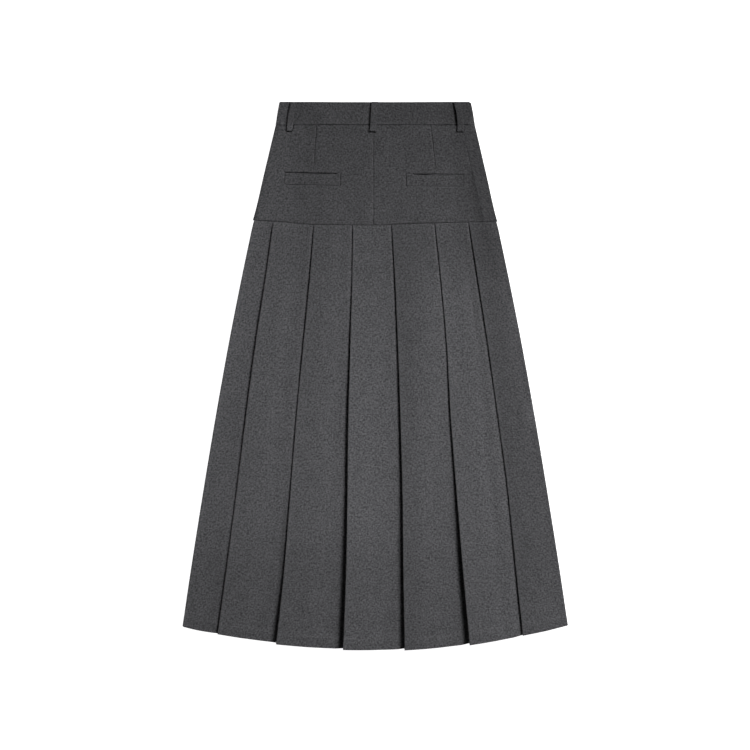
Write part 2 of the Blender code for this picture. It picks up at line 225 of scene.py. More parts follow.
def foldRound(flat, radius, turn, side):        # x on a side fold, and height above its lowest cloth
    return side * (flat + radius * np.cos(turn)), radius + radius * np.sin(turn)


def backSurface(x, down, thickness=wall):       # middle of the back layer at a place on the flat part
    side = np.where(x < centreBack, -1.0, 1.0)
    whole = side * sideFold(down, thickness)[1] - centreBack
    return backHeight(np.clip((x - centreBack) / whole, 0, 1), down)


# Shader nodes and materials

def newNode(tree, kind, **settings):
    node = tree.nodes.new("ShaderNode" + kind)
    for label, value in settings.items():
        setattr(node, label, value)
    return node


def tune(node, values):
    for label, value in values.items():
        node.inputs[label].default_value = value


def plug(source, target):
    target.id_data.links.new(source, target)


def mathNode(tree, operation, *values):
    node = newNode(tree, "Math", operation=operation)
    for socket, value in zip(node.inputs, values):
        if isinstance(value, (int, float)):
            socket.default_value = value
        else:
            plug(value, socket)
    return node.outputs[0]


def noiseNode(tree, vector, scale, stretch=(1.0, 1.0, 1.0), detail=2.0, roughness=0.5):
    spread = newNode(tree, "VectorMath", operation="MULTIPLY")
    plug(vector, spread.inputs[0])
    spread.inputs[1].default_value = [scale * s for s in stretch]
    noise = newNode(tree, "TexNoise")
    plug(spread.outputs[0], noise.inputs["Vector"])
    tune(noise, {"Scale": 1.0, "Detail": detail, "Roughness": roughness})
    return noise.outputs["Fac"]


def newMaterial(name):
    material = bpy.data.materials.new(name)
    material.use_nodes = True
    return material, material.node_tree, material.node_tree.nodes["Principled BSDF"]


def colourRamp(source, colours, ends=(0.0, 1.0)):
    ramp = newNode(source.id_data, "ValToRGB")
    for element, colour, end in zip(ramp.color_ramp.elements, colours, ends):
        element.position, element.color = end, (*colour, 1)
    plug(source, ramp.inputs[0])
    return ramp.outputs[0]


def raised(shader, height, strength, depth):
    bump = newNode(shader.id_data, "Bump")
    tune(bump, {"Strength": strength, "Distance": depth})
    plug(height, bump.inputs["Height"])
    plug(bump.outputs[0], shader.inputs["Normal"])


def roughened(shader, source, low, high):
    rough = newNode(shader.id_data, "MapRange")
    tune(rough, {"To Min": low, "To Max": high})
    plug(source, rough.inputs[0])
    plug(rough.outputs[0], shader.inputs["Roughness"])


heather = {     # scale of each noise and its stretch along warp and weft, its detail and its roughness
    "warp": (1.0, (470.0, 235.0, 1.0), 0.6, 0.4),
    "weft": (1.0, (235.0, 470.0, 1.0), 0.6, 0.4),
    "fleck": (275.0, (1.0, 1.0, 1.0), 0.6, 0.4),
    "cloud": (55.0, (1.0, 0.7, 1.0), 2.0, 0.5),
    "fibre": (1.0, (1900.0, 420.0, 1.0), 2.0, 0.6),
    "ribPitch": 0.0011, "ribHeight": 0.6, "streakHeight": 0.7, "fleckHeight": 0.6,
}


# Heathered twill: dark and light fibres streaked along warp and weft, mottled, with fine diagonal ribs
def heatherGroup():
    group = bpy.data.node_groups.new("heatheredTwill", "ShaderNodeTree")
    group.interface.new_socket("Grain", in_out="INPUT", socket_type="NodeSocketVector")
    for label in (*suitingLook["weave"], "Tone", "Height", "Fuzz"):
        way = "INPUT" if label in suitingLook["weave"] else "OUTPUT"
        group.interface.new_socket(label, in_out=way, socket_type="NodeSocketFloat")
    inside, outside = group.nodes.new("NodeGroupInput"), group.nodes.new("NodeGroupOutput")
    grain = inside.outputs["Grain"]
    warp, weft, fleck, cloud, fibre = (
        noiseNode(group, grain, *heather[label]) for label in ("warp", "weft", "fleck", "cloud", "fibre")
    )
    parts = newNode(group, "SeparateXYZ")
    plug(grain, parts.inputs[0])
    slant = mathNode(group, "ADD", parts.outputs[0], parts.outputs[1])
    slant = mathNode(group, "MULTIPLY", slant, 2 * pi / heather["ribPitch"])
    ribs = mathNode(group, "MULTIPLY_ADD", mathNode(group, "SINE", slant), 0.5, 0.5)
    streak = mathNode(group, "SUBTRACT", mathNode(group, "ADD", warp, weft), 1.0)
    tone = mathNode(group, "MULTIPLY", streak, inside.outputs["Streak"])
    for value, share in ((fleck, "Mottle"), (cloud, "Cloud"), (ribs, "Rib"), (fibre, "Fibre")):
        centred = mathNode(group, "SUBTRACT", value, 0.5)
        tone = mathNode(group, "ADD", tone, mathNode(group, "MULTIPLY", centred, inside.outputs[share]))
    plug(mathNode(group, "ADD", tone, 0.5), outside.inputs["Tone"])
    height = mathNode(group, "MULTIPLY", ribs, heather["ribHeight"])
    for value, label in ((streak, "streakHeight"), (fleck, "fleckHeight")):
        height = mathNode(group, "ADD", height, mathNode(group, "MULTIPLY", value, heather[label]))
    plug(height, outside.inputs["Height"])
    plug(fleck, outside.inputs["Fuzz"])
    return group


suitingLook = {
    "darkFibre": (0.038, 0.038, 0.0413),
    "lightFibre": (0.131, 0.1303, 0.1375),
    "toneEnds": (0.12, 0.88),
    "weave": {"Streak": 0.91, "Mottle": 0.63, "Cloud": 0.28, "Rib": 0.16, "Fibre": 0.35},
    # colour of the painted highlight along edges and seams
    "pressedOrHighlight": (0.22, 0.22, 0.228),
    "highlightLift": 0.1,       # how far a painted highlight goes towards that colour
    "roughness": (0.82, 0.95),
    "bump": (0.22, 0.00035),
    "surface": {"Specular IOR Level": 0.25, "Sheen Weight": 0.12, "Sheen Roughness": 0.55},
}


def suitingMaterial():
    look = suitingLook
    material, tree, shader = newMaterial("charcoalSuiting")
    twill = newNode(tree, "Group", node_tree=heatherGroup())
    plug(newNode(tree, "UVMap", uv_map="grain").outputs[0], twill.inputs["Grain"])
    tune(twill, look["weave"])
    fibres = colourRamp(twill.outputs["Tone"], (look["darkFibre"], look["lightFibre"]), look["toneEnds"])
    # painted highlight, then painted light and shade
    edge = newNode(tree, "Attribute", attribute_name="paintedHighlight")
    highlighted = newNode(tree, "Mix", data_type="RGBA")
    plug(mathNode(tree, "MULTIPLY", edge.outputs["Fac"], look["highlightLift"]), highlighted.inputs[0])
    plug(fibres, highlighted.inputs[6])
    highlighted.inputs[7].default_value = (*look["pressedOrHighlight"], 1)
    # painted light and shade scale the cloth's colour
    paintedLight = newNode(tree, "Attribute", attribute_name="paintedLight")
    shadePainted = newNode(tree, "VectorMath", operation="SCALE")
    plug(highlighted.outputs[2], shadePainted.inputs[0])
    plug(paintedLight.outputs["Fac"], shadePainted.inputs["Scale"])
    plug(shadePainted.outputs[0], shader.inputs["Base Color"])
    roughened(shader, twill.outputs["Fuzz"], *look["roughness"])
    raised(shader, twill.outputs["Height"], *look["bump"])
    tune(shader, look["surface"])
    return material


def knit(tree, at):
    wave = newNode(tree, "TexWave")
    tune(wave, {"Scale": 260.0, "Distortion": 1.5})
    plug(at, wave.inputs["Vector"])
    return wave.outputs["Fac"]


# Two colours mixed by a noise or the tape's knit, which stay with the object
def twoToned(name, noise, colours, surface, bump=None, roughness=None):
    material, tree, shader = newMaterial(name)
    at = newNode(tree, "TexCoord").outputs["Object"]
    mask = noiseNode(tree, at, *noise) if noise else knit(tree, at)
    plug(colourRamp(mask, colours), shader.inputs["Base Color"])
    if bump:
        raised(shader, mask, *bump)
    if roughness:
        roughened(shader, mask, *roughness)
    tune(shader, surface)
    return material


suiting = suitingMaterial()
# near-black thread: on the belt loops' feet it also stands in for shadow, a painted shadow
thread = twoToned(
    "darkThreadAndShadow", (900.0,), ((0.006, 0.006, 0.0065), (0.02, 0.02, 0.021)),
    {"Roughness": 0.75, "Specular IOR Level": 0.1}, bump=(0.3, 0.0002),
)
zipTape = twoToned(
    "knittedTape", None, ((0.012, 0.012, 0.014), (0.035, 0.035, 0.038)), {"Roughness": 0.75}, bump=(0.4, 0.0003),
)
trimMetal = twoToned(
    "brushedNickel", (1.0, (9000.0, 500.0, 900.0), 3.0, 0.6), ((0.3, 0.3, 0.31), (0.52, 0.52, 0.53)),
    {"Metallic": 1.0}, bump=(0.1, 0.0001), roughness=(0.22, 0.45),
)
print("materials ready")


# Meshes

def meshFrom(name, vertices, faces, material):
    mesh = bpy.data.meshes.new(name)
    mesh.from_pydata([tuple(v) for v in vertices], [], [tuple(f) for f in faces])
    mesh.materials.append(material)
    mesh.polygons.foreach_set("use_smooth", [True] * len(mesh.polygons))
    piece = bpy.data.objects.new(name, mesh)
    scene.collection.objects.link(piece)
    return piece


def attach(piece, node=None):
    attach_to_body(piece, "root")
    if node:
        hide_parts(node)


def storeGrain(piece, grain):       # each vertex's place on the flat cloth
    vertex = np.zeros(len(piece.data.loops), np.int32)
    piece.data.loops.foreach_get("vertex_index", vertex)
    uv = piece.data.uv_layers.new(name="grain")
    uv.data.foreach_set("uv", grain[vertex].astype(np.float32).reshape(-1))


def storeValue(piece, label, values):
    stored = piece.data.attributes.new(label, "FLOAT", "POINT")
    stored.data.foreach_set("value", values.astype(np.float32))


def clothGrid(
    name, points, grain, node, sheet=None, edge=0.0, thickness=cloth, rim=0.00025, segments=2,
    hole=None, thicker=None, paintedLightScale=1.0,
):
    # rows and columns of points on the cloth's middle, made into a wall with rounded rims
    shape = points.shape[:2]
    index = np.arange(shape[0] * shape[1]).reshape(shape)
    quads = np.stack([index[:-1, :-1], index[:-1, 1:], index[1:, 1:], index[1:, :-1]], axis=-1)
    if hole is not None:
        quads = quads[~hole]
    used, faces = np.unique(quads, return_inverse=True)
    piece = meshFrom(name, points.reshape(-1, 3)[used], faces.reshape(-1, 4), suiting)

    def kept(values):
        return np.broadcast_to(values, shape).reshape(-1)[used]

    storeGrain(piece, stacked(*grain, points[..., 0])[..., :2].reshape(-1, 2)[used])
    storeValue(piece, "paintedHighlight", kept(edge))
    # painted light and shade, kept on each vertex for the material
    storeValue(piece, "paintedLight", kept(paintedLightScale * paintedLightAt(points[..., 0], skirt["length"] / 2 - points[..., 1])))
    shell = piece.modifiers.new("wall", "SOLIDIFY")
    shell.thickness, shell.offset = thickness, 0.0
    if thicker is not None:
        group = piece.vertex_groups.new(name="thicker")
        for i, share in enumerate(kept(thicker)):
            group.add([i], float(share), "REPLACE")
        shell.vertex_group = "thicker"
    rounding = piece.modifiers.new("rim", "BEVEL")
    rounding.width, rounding.segments = rim, segments
    rounding.limit_method, rounding.angle_limit = "ANGLE", radians(60)
    attach(piece, node)
    if sheet:
        crossed = np.cross(points[1:, 1:] - points[:-1, :-1], points[1:, :-1] - points[:-1, 1:])
        area = np.linalg.norm(crossed, axis=-1) / 2
        area = area.sum() if hole is None else area[~hole].sum()
    return piece


def tubeFaces(rings, around, first=0):      # rings of points joined to a closed tube
    faces = []
    for r in range(rings - 1):
        for k in range(around):
            a, b = first + r * around + k, first + r * around + (k + 1) % around
            faces.append((a, b, b + around, a + around))
    faces.append(tuple(first + k for k in range(around - 1, -1, -1)))
    faces.append(tuple(first + (rings - 1) * around + k for k in range(around)))
    return faces


def stitches(name, routes, length=0.0022, gap=0.001, radius=0.00016, rise=0.00012):
    # short threads, one after another along each route, each with its ends in the cloth
    vertices, faces = [], []
    rings = ((0.0, -1.0, 0.6), (0.2, 0.6, 1.0), (0.5, 1.0, 1.0), (0.8, 0.6, 1.0), (1.0, -1.0, 0.6))
    for points, up in routes:
        points, up = np.array(points, float), np.array(up, float)
        reach = travelled(points[None])[0]
        for i in range(int(reach[-1] // (length + gap))):
            start = i * (length + gap) + gap / 2
            at = [np.array([np.interp(start + s * length, reach, points[:, k]) for k in range(3)]) for s in (0, 1)]
            onward = (at[1] - at[0]) / np.linalg.norm(at[1] - at[0])
            across = np.cross(onward, up)
            faces += tubeFaces(len(rings), 6, len(vertices))
            for share, lift, wide in rings:
                centre = mixed(*at, share) + up * rise * lift
                for turn in np.arange(6) * pi / 3:
                    vertices.append(centre + radius * wide * (cos(turn) * across + sin(turn) * up))
    piece = meshFrom(name, vertices, faces, thread)
    attach(piece)
    return piece


# Pleated part

pleats = {
    # folded edge of each back panel: at the yoke, at the hem, bow, and how high the panel's middle stands
    "back": (
        (-0.1828, -0.281, -0.0029, 0.0008), (-0.1094, -0.1761, -0.0003, 0.0006), (-0.0395, -0.0551, -0.0013, 0.0004),
        (0.0306, 0.0516, 0.0051, 0.0022), (0.1107, 0.1679, -0.0005, 0.0004), (0.1681, 0.265, 0.0073, 0.002),
    ),
    # in millimetres, on the way down: how far each folded edge stands off the cloth below, and off its line
    "guideAt": (0.0, 0.12, 0.28, 0.46, 0.64, 0.82, 1.0),
    "lift": (
        (0.8, 0.9, 1.8, 1.6, 0.5, 0.8, 2.1), (0.8, 2.0, 1.4, 0.8, 1.2, 3.4, 8.4), (0.4, 0.5, 3.4, 6.0, 7.0, 9.6, 12.0),
        (0.5, 1.4, 2.6, 4.4, 5.8, 6.8, 8.4), (0.0, 0.4, 0.8, 2.8, 4.8, 10.0, 11.4), (0.4, 1.2, 0.8, 0.1, 0.6, 1.4, 2.8),
    ),
    "stray": (
        (0.0, 0.6, -0.6, -0.3, 0.6, 0.0, -2.0), (-0.4, 0.6, -0.4, -1.2, -0.2, 0.9, -1.6),
        (-0.4, 0.6, 0.3, -0.4, 0.8, 0.8, -2.3), (-0.7, 0.0, 0.2, 0.1, 0.3, -0.3, 1.2),
        (-3.0, 0.0, 1.8, -0.7, -0.6, 0.0, 1.7), (0.3, -0.3, -0.3, -0.2, 0.9, -0.5, 0.3),
    ),
    "length": 0.765,
    "ends": (0.2129, 0.9416),       # way down at the sides, at the yoke and at the hem
    "depth": (0.031, 0.044),        # folded under, at the yoke and at the hem
    "roll": (0.006, 0.013),         # where a panel dips under the next folded edge
    "rollPower": 2.2,
    "rollOff": 0.0012,
    # how far each panel's hem hangs below the hem line, at its folded edge and at its right end
    "hemDrop": (
        (0.0015, -0.0006), (0.0015, 0.0004), (0.0009, 0.0005), (0.0018, 0.0008), (0.0017, 0.0009), (0.0005, 0.0008),
    ),
    "leftHemDrop": (0.0006, 0.0031),
    "leftHemBow": 0.0008,
    # painted light and shade on each panel, from the left one on, in the upper part and towards the hem
    "panelLightAt": (0.08, 0.36, 0.66, 0.93),      # at its left end, twice between and at its right end
    "panelPaintedLight": (
        ((1.2, 1.09, 0.99, 0.91), (1.12, 1.0, 0.94, 0.86)), ((1.0, 1.05, 1.0, 0.93), (0.99, 1.02, 0.98, 0.91)),
        ((0.94, 0.95, 1.02, 0.95), (0.97, 0.97, 1.01, 0.95)), ((1.06, 1.01, 1.0, 0.97), (1.03, 1.05, 1.0, 0.93)),
        ((0.85, 0.88, 0.97, 1.04), (0.88, 0.98, 0.94, 0.88)), ((1.12, 1.04, 1.0, 1.02), (0.98, 0.99, 1.02, 1.0)),
        ((1.04, 0.99, 0.85, 1.08), (0.95, 1.03, 0.88, 1.0)),
    ),
    "dippingShade": (0.33, 0.0068, 0.0058),      # painted shade where a panel dips under the next one near the hem
    "hemHighlight": (0.75, 0.0022, 0.0024),      # painted highlight above the turned-up hem
    "underHem": -0.001,
    "sag": 0.001,                  # how far a panel sinks past the fold's depth
    "swell": 0.0009,                # broad soft rise of the whole back
    "leftBulge": 0.0012,
    "ripple": 0.00045,              # panel's own soft unevenness
    "fallStart": 0.001,
    "fall": 0.008,
    "hemFold": 0.0168,              # depth of the turned-up hem
    "hemGroove": (0.00012, 0.0022),
    "hemCloth": 0.00118,            # thickness where it is turned up
    "rowSpacing": 0.0066,
    "pressedOrHighlight": (0.3, 0.03),        # share of its height that the stack loses at the yoke, and reach
    "seamTurn": (0.0012, 0.0026),   # how far the edges turn down into the seam, and reach
}
rows = stations(        # shares of the way from the yoke to the hem
    pleats["length"], pleats["rowSpacing"],
    near=(0.0005, 0.001, 0.0017, 0.0026, 0.004, 0.0065),
    far=(0.0006, 0.0014, 0.003, 0.0065, 0.0105, 0.0138, 0.0149, 0.0155, 0.0161, 0.0172, 0.0195),
)[:, None]
depthUnder = mixed(*pleats["depth"], rows)
sideRadius = (level(3) - level(0)) / 2
stripEdge = halfWidth(mixed(*pleats["ends"], rows))
flatEnd = stripEdge - wall / 2 - sideRadius     # x where the flat cloth runs into the side fold


def guide(label, number):
    return 0.001 * curveThrough(rows, list(zip(pleats["guideAt"], pleats[label][number])))


folds = [       # each back panel's folded edge, and the right side
    mixed(top, hem, rows) + bow * 4 * rows * (1 - rows) + guide("stray", number)
    for number, (top, hem, bow, _) in enumerate(pleats["back"])
] + [stripEdge]
lifts = [guide("lift", number) * eased(rows / 0.03) for number in range(6)]


def frontFold(number):      # the back's pitch carried on round the side
    edges = []
    for down, first in zip(pleats["ends"], pleats["back"][0]):
        half = float(halfWidth(down))
        pitch = 4 * half / 12
        edges.append(pitch - (first + half) - half + number * pitch)
    return mixed(*edges, rows)


def softness(x, seed):
    return pleats["ripple"] * eased(rows * 8) * ripple(x, rows * pleats["length"], 0.03, 0.2, seed)


def lowest(x):      # lowest layer of the back, with the broad rise of the whole stack
    keep = np.clip(1 - np.abs(x / stripEdge) ** 5, 0, 1) * eased(rows * 6)
    wave = ripple(x, rows * pleats["length"], 0.11, 0.22, 7)
    return level(3) + pleats["swell"] * keep * (0.55 + 0.45 * wave)


def faceHeight(number, x):
    q, near = x - folds[number], folds[number + 1]
    s = np.clip(q / (near - folds[number]), 0, 1)
    z = lowest(x) + 2 * layer + lifts[number] * (1 - s) ** 1.3
    z = z - pleats["sag"] * eased((s - 0.35) / 0.4) * eased(rows * 5)
    z = z + pleats["back"][number][3] * eased(rows * 4) * np.sin(pi * s) ** 1.5
    soft = eased((q - depthUnder * 0.8) / 0.02) * softness(q, 60 + number)
    if number < 5:
        return z + soft * eased((near - x) / 0.02)
    return mixed(level(3), z + soft, eased((flatEnd - x) / mixed(0.02, 0.034, rows)))


class Strip:        # columns of a pleated piece, gathered run by run: x, height, hem's drop, panel, painted highlight
    def __init__(self, panel):
        self.columns, self.panel = [], panel

    def add(self, x, z, drop, edge=0.0):
        self.columns.append(np.stack(np.broadcast_arrays(x + 0 * rows, z, drop, self.panel, edge)))

    def run(self, count, start, end, height, drop=(0, 0), power=1.0, edge=None):
        s = np.linspace(0, 1, count, endpoint=False) ** power
        x = mixed(start, end, s)
        self.add(x, height(x) if callable(height) else height, mixed(*drop, s), 0.0 if edge is None else edge(s))

    def nose(self, count, tip, way, zFrom, zTo, drop, edge=0.0):
        turn = np.linspace(-pi / 2, pi / 2, count, endpoint=False)
        x = tip - way * np.abs(zTo - zFrom) / 2 * (1 - np.cos(turn))
        self.add(x, (zFrom + zTo) / 2 + (zTo - zFrom) / 2 * np.sin(turn), drop, edge)

    def sideTurn(self, side, drop):
        # round the right side fold from front to back, or round the left one from back to front
        turn = np.linspace(-pi / 2, pi / 2, 9, endpoint=False)
        x, z = foldRound(flatEnd, sideRadius, turn * side, side)
        self.add(x, level(0) + z, np.linspace(*drop, 9))

    def fall(self, fold):       # down to the table past a folded edge of the front
        start = fold + pleats["fallStart"]
        end = start + pleats["fall"]
        self.run(5, start, end, lambda x: mixed(level(2), level(0), fade(x, start, end)))
        return end


def backPleatStrip():
    strip, half = Strip(9), layer / 2
    under, off, roll = pleats["underHem"], pleats["rollOff"], mixed(*pleats["roll"], rows)
    last = frontFold(5)
    strip.run(4, last - depthUnder, last + pleats["fallStart"], level(2), (under, 0))
    strip.run(8, strip.fall(last), flatEnd, level(0))
    strip.sideTurn(1, (0, pleats["hemDrop"][5][1]))
    for number in range(5, -1, -1):
        strip.panel = number
        fold, near = folds[number:number + 2]
        hem, rightHem = pleats["hemDrop"][number]

        def face(x):
            return faceHeight(number, x)

        def foldedUnder(x):
            away = np.clip((x - fold) / (depthUnder * 1.05), 0, 1)
            return lowest(x) + layer + lifts[number] * (1 - away) ** 1.2

        def rolled(x):
            share = np.clip(1 - (near - off - x) / roll, 0, 1)
            return mixed(face(x), lowest(x), share ** pleats["rollPower"])

        right = flatEnd
        if number < 5:
            right = near - off - roll
            strip.run(5, near + depthUnder - half, near - off, lowest, (under, under / 2))
            strip.run(10, near - off, right, rolled, (under / 2, rightHem))
        wide = fold + depthUnder * 1.25
        middle = mixed(rightHem, hem, 0.35)
        strip.run(15 if number < 5 else 14, right, wide, face, (rightHem, middle))
        # painted highlight along each folded edge
        strip.run(11, wide, fold + half, face, (middle, hem), 0.8, lambda s: np.clip(s * 6 - 5, 0, 1) ** 2)
        high, low = face(fold + half), foldedUnder(fold + half)
        strip.nose(6, fold, -1, high, low, hem, (1, 1, 0.8, 0.5, 0.2, 0))
        strip.run(6, fold + half, fold + depthUnder - half, foldedUnder, (hem, under))
        inner = fold + depthUnder - half
        if number:
            strip.nose(4, inner + half, 1, foldedUnder(inner), lowest(inner), under)
        else:
            strip.add(inner, foldedUnder(inner), under)
    return strip


def frontPleatStrip():
    strip, half = Strip(7), layer / 2
    under, leftDrop = pleats["underHem"], pleats["leftHemDrop"]
    first = folds[0] - 0.001
    start = -flatEnd

    def leftPanel(x):
        bulge = eased((first - x) / 0.012) * eased((x + flatEnd) / 0.02)
        return lowest(x) + bulge * (pleats["leftBulge"] * eased(rows * 8) + softness(x - folds[0], 81))

    strip.run(4, folds[0] + depthUnder, first, leftPanel, (under, 0))
    strip.run(26, first, start, leftPanel, leftDrop)
    strip.columns[-1][2] += pleats["leftHemBow"] * np.sin(pi * np.linspace(0, 1, 26))
    strip.sideTurn(-1, (leftDrop[1], 0))
    for number in range(6):
        fold, strip.panel = frontFold(number), 10 + number
        strip.run(9, start, fold - half, level(0))
        strip.nose(5, fold, 1, level(0), level(1), 0.0)
        strip.run(4, fold - half, fold - depthUnder + half, level(1), (0, under))
        if number < 5:
            strip.nose(4, fold - depthUnder, -1, level(1), level(2), under)
            strip.panel += 1
            strip.run(4, fold - depthUnder + half, fold + pleats["fallStart"], level(2), (under, 0))
            start = strip.fall(fold)
        else:
            strip.add(fold - depthUnder, level(1), under)
    return strip


def pleatedPiece(name, strip, node, seed):
    x, z, drop, part, edge = np.concatenate(strip.columns, axis=-1)
    part, low = part[0], level(3)
    top = yokeLine(x[:1]) + halfGap
    bottom = hemLine(x[-1:]) + drop[-1:]
    down = mixed(top, bottom, rows)
    fromSeam, fromHem = down - top, bottom - down - pleats["hemFold"]
    # the stack is pressed at the yoke seam, and each edge turns down into the seam
    z = np.where(z > low, low + (z - low) * (1 - turnedDown(fromSeam, *pleats["pressedOrHighlight"])), z)
    z = z - np.where(z > low + 0.0003, turnedDown(fromSeam, *pleats["seamTurn"]), 0)
    deep, reach = pleats["hemGroove"]
    groove = bell(fromHem, reach) * (0.6 + 0.4 * ripple(x, part * 1.7, 0.02, 5.0, seed))
    z = z - np.where(z > level(2.5), deep * groove, 0)
    points = place(x, down, z)
    across = travelled(points)
    hemLength = round(float(across[-1, -1]), 3)
    for number in np.unique(part):
        here = np.nonzero(part == number)[0]
        across[:, here] += 0.37 * number - across[:, [int(np.median(here))]]
    # painted light and shade on each panel, painted shade where it dips under the next one, and the turned-up hem a
    # little darker
    light = np.ones_like(x)
    for number, (upper, lower) in enumerate(pleats["panelPaintedLight"], -1):
        left, right = (folds[number] if number >= 0 else -stripEdge), folds[number + 1]
        share = np.clip((x - left) / (right - left), 0, 1)
        panel = mixed(*[np.interp(share, pleats["panelLightAt"], values) for values in (upper, lower)], fade(rows, 0.1, 0.6))
        if 0 <= number < 4:
            panel = panel * (1 - ridge(right - x, *pleats["dippingShade"]) * fade(rows, 0.5, 0.8))
        light = np.where(part == (number if number >= 0 else 7), panel, light)
    turnedUp = eased((0.0012 - fromHem) / 0.0024)
    clothGrid(
        name, points, (across, down + 0.113 * part), node, paintedLightScale=light * (1 - 0.03 * turnedUp),
        thickness=pleats["hemCloth"], thicker=mixed(cloth / pleats["hemCloth"], 1.0, turnedUp),
        edge=np.maximum(edge, ridge(fromHem, *pleats["hemHighlight"])),
        sheet=dict(flat=(hemLength, 0.772), held="folded", rests_on=["floor"]),
    )
    print(name, "columns", x.shape[1], "rows", len(rows), "hem", hemLength)


pleatedPiece("pleatedBack", backPleatStrip(), "pleats_back", 31)
pleatedPiece("pleatedFront", frontPleatStrip(), "pleats_front", 32)


# Yoke

upperPaintedShade = 0.88     # painted shade: the yoke, waistband and loops are drawn a little darker than the pleats

yoke = {
    "spacing": 0.0042,
    "frontSpacing": 0.0052,
    "near": (0.0004, 0.0009, 0.0015, 0.0023, 0.0034),
    # how far the cloth turns down into each seam, and over what reach
    "bandTurn": (0.0013, 0.0027),
    "centreTurn": (0.00115, 0.0019),
    "sideTurn": (0.0004, 0.0016),
    "seamTurn": (0.0014, 0.0028),
    "seamDeep": (               # how much deeper or shallower the lower seam is from place to place
        (-0.22, 1.4), (-0.178, 2.4), (-0.15, 1.4), (-0.13, 1.8), (-0.1, 1.5), (-0.05, 1.3), (0.01, 1.8),
        (0.045, 2.6), (0.13, 2.5), (0.15, 1.4), (0.22, 1.2),
    ),
    "ripple": 0.00028,
    "sideRidge": 0.0012,        # right side seam: the seam allowances raise the cloth
    "ridgeReach": (0.0075, 0.022),
    "sidePlay": 0.00002,        # keeps both sides of that seam apart
    "fly": (0.012, -0.0015, -0.005),        # where the left front goes behind the right one and comes down
    "dartRidge": (0.00016, 0.003, 0.003),
    "dartEnd": (0.1285, 0.1165),            # on the way down
    # painted highlights beside the left dart, above the lower seam and beside the centre seam
    "dartHighlight": ((0.048, 0.058), (0.108, 0.098)),
    "creaseFrom": (0.072, 0.084),
    "seamHighlight": (1.0, 0.003, 0.0026),
    "seamHighlightAt": (0.4, 0.85),           # how strongly in the left half and in the right one
    "centreHighlight": (0.4, -0.0055, 0.0055),
}
darts = {
    "left": {
        "top": (-0.1058, 0.042), "foot": (-0.1121, 0.1265), "groove": (0.00095, 0.0, 0.0017),
        # last here: painted highlight beside the dart
        "crease": (0.0004, -0.0064, 0.002), "pressedOrHighlight": (0.3, -0.0033, 0.002),
    },
    "right": {"top": (0.0993, 0.042), "foot": (0.1087, 0.1265), "groove": (0.001, 0.0, 0.0017)},
}
pockets = {
    "left": {
        "x": -0.113, "down": 0.1391, "wide": 0.1, "turn": radians(-1.4), "slit": 0.0022, "seam": 1.9,
        "seed": 21, "gape": ((-0.05, 0.0004), (-0.044, 0.0), (0.0446, 0.0), (0.0462, -0.0019)),
    },
    "right": {
        "x": 0.107, "down": 0.1416, "wide": 0.1026, "turn": radians(-0.6), "slit": 0.0012, "seam": 1.2,
        "seed": 22, "gape": ((-0.042, -0.001), (-0.036, 0.0012), (-0.012, 0.0012), (-0.004, 0.0)),
    },
}
pocket = {
    "high": 0.0223, "facing": 0.018,
    "edgeTurn": (0.0007, 0.0018),
    "near": (0.0003, 0.0007, 0.0012, 0.002),
    "foldRadius": 0.00055,
    "facingBelow": 0.0034,
    "facingOver": 0.006,            # wider than the welt
    "facingAbove": 0.004,
    "slitRidge": (0.00025, 0.004, 0.006),
    "ridgeEnd": 0.004,
    # painted highlight above the slit
    "pressedOrHighlight": (0.35, 0.0032, 0.0022),
    "play": 0.0003,                 # between the welt and the opening's edge
    "spacing": (0.0035, 0.0025),    # of the welt's columns and rows
    "bow": 0.0002,
    "ripple": 0.00012,
    "sideTurn": (0.0007, 0.0014),
    "footTurn": (0.0006, 0.0016),
    "slitRise": 0.0003,
    "return": (0.008, 0.0002),      # depth behind the slit, and how far it sinks
}


for p in pockets.values():
    p["c"], p["s"] = cos(p["turn"]), sin(p["turn"])


def dartX(side, down):
    (topX, top), (footX, foot) = darts[side]["top"], darts[side]["foot"]
    return mixed(topX, footX, (down - top) / (foot - top))


def pocketColumn(side, end, down):      # a pocket's short edge, carried up and down the yoke
    p = pockets[side]
    u = end * p["wide"] / 2
    return p["x"] + u * p["c"] - (p["down"] - u * p["s"] - down) / p["c"] * p["s"]


def pocketRow(side, edge, x):       # a pocket's long edge, carried across the yoke
    p = pockets[side]
    v = edge * pocket["high"] / 2
    return p["down"] - ((x - p["x"] + v * p["s"]) / p["c"] * p["s"] + v * p["c"])


def pocketPlace(side, x, down):     # along and up the pocket, from its middle
    p = pockets[side]
    aside, up = x - p["x"], p["down"] - down
    return aside * p["c"] + up * p["s"], up * p["c"] - aside * p["s"]


def guided(reach, closeEnd=True):
    # which guide pair each station lies in, and its share between them
    found = []
    for i, length in enumerate(reach):
        last = i == len(reach) - 1
        shares = stations(length, yoke["spacing"], near=yoke["near"], far=yoke["near"] if closeEnd or not last else ())
        found += [(i, s) for s in (shares if last else shares[:-1])]
    return found


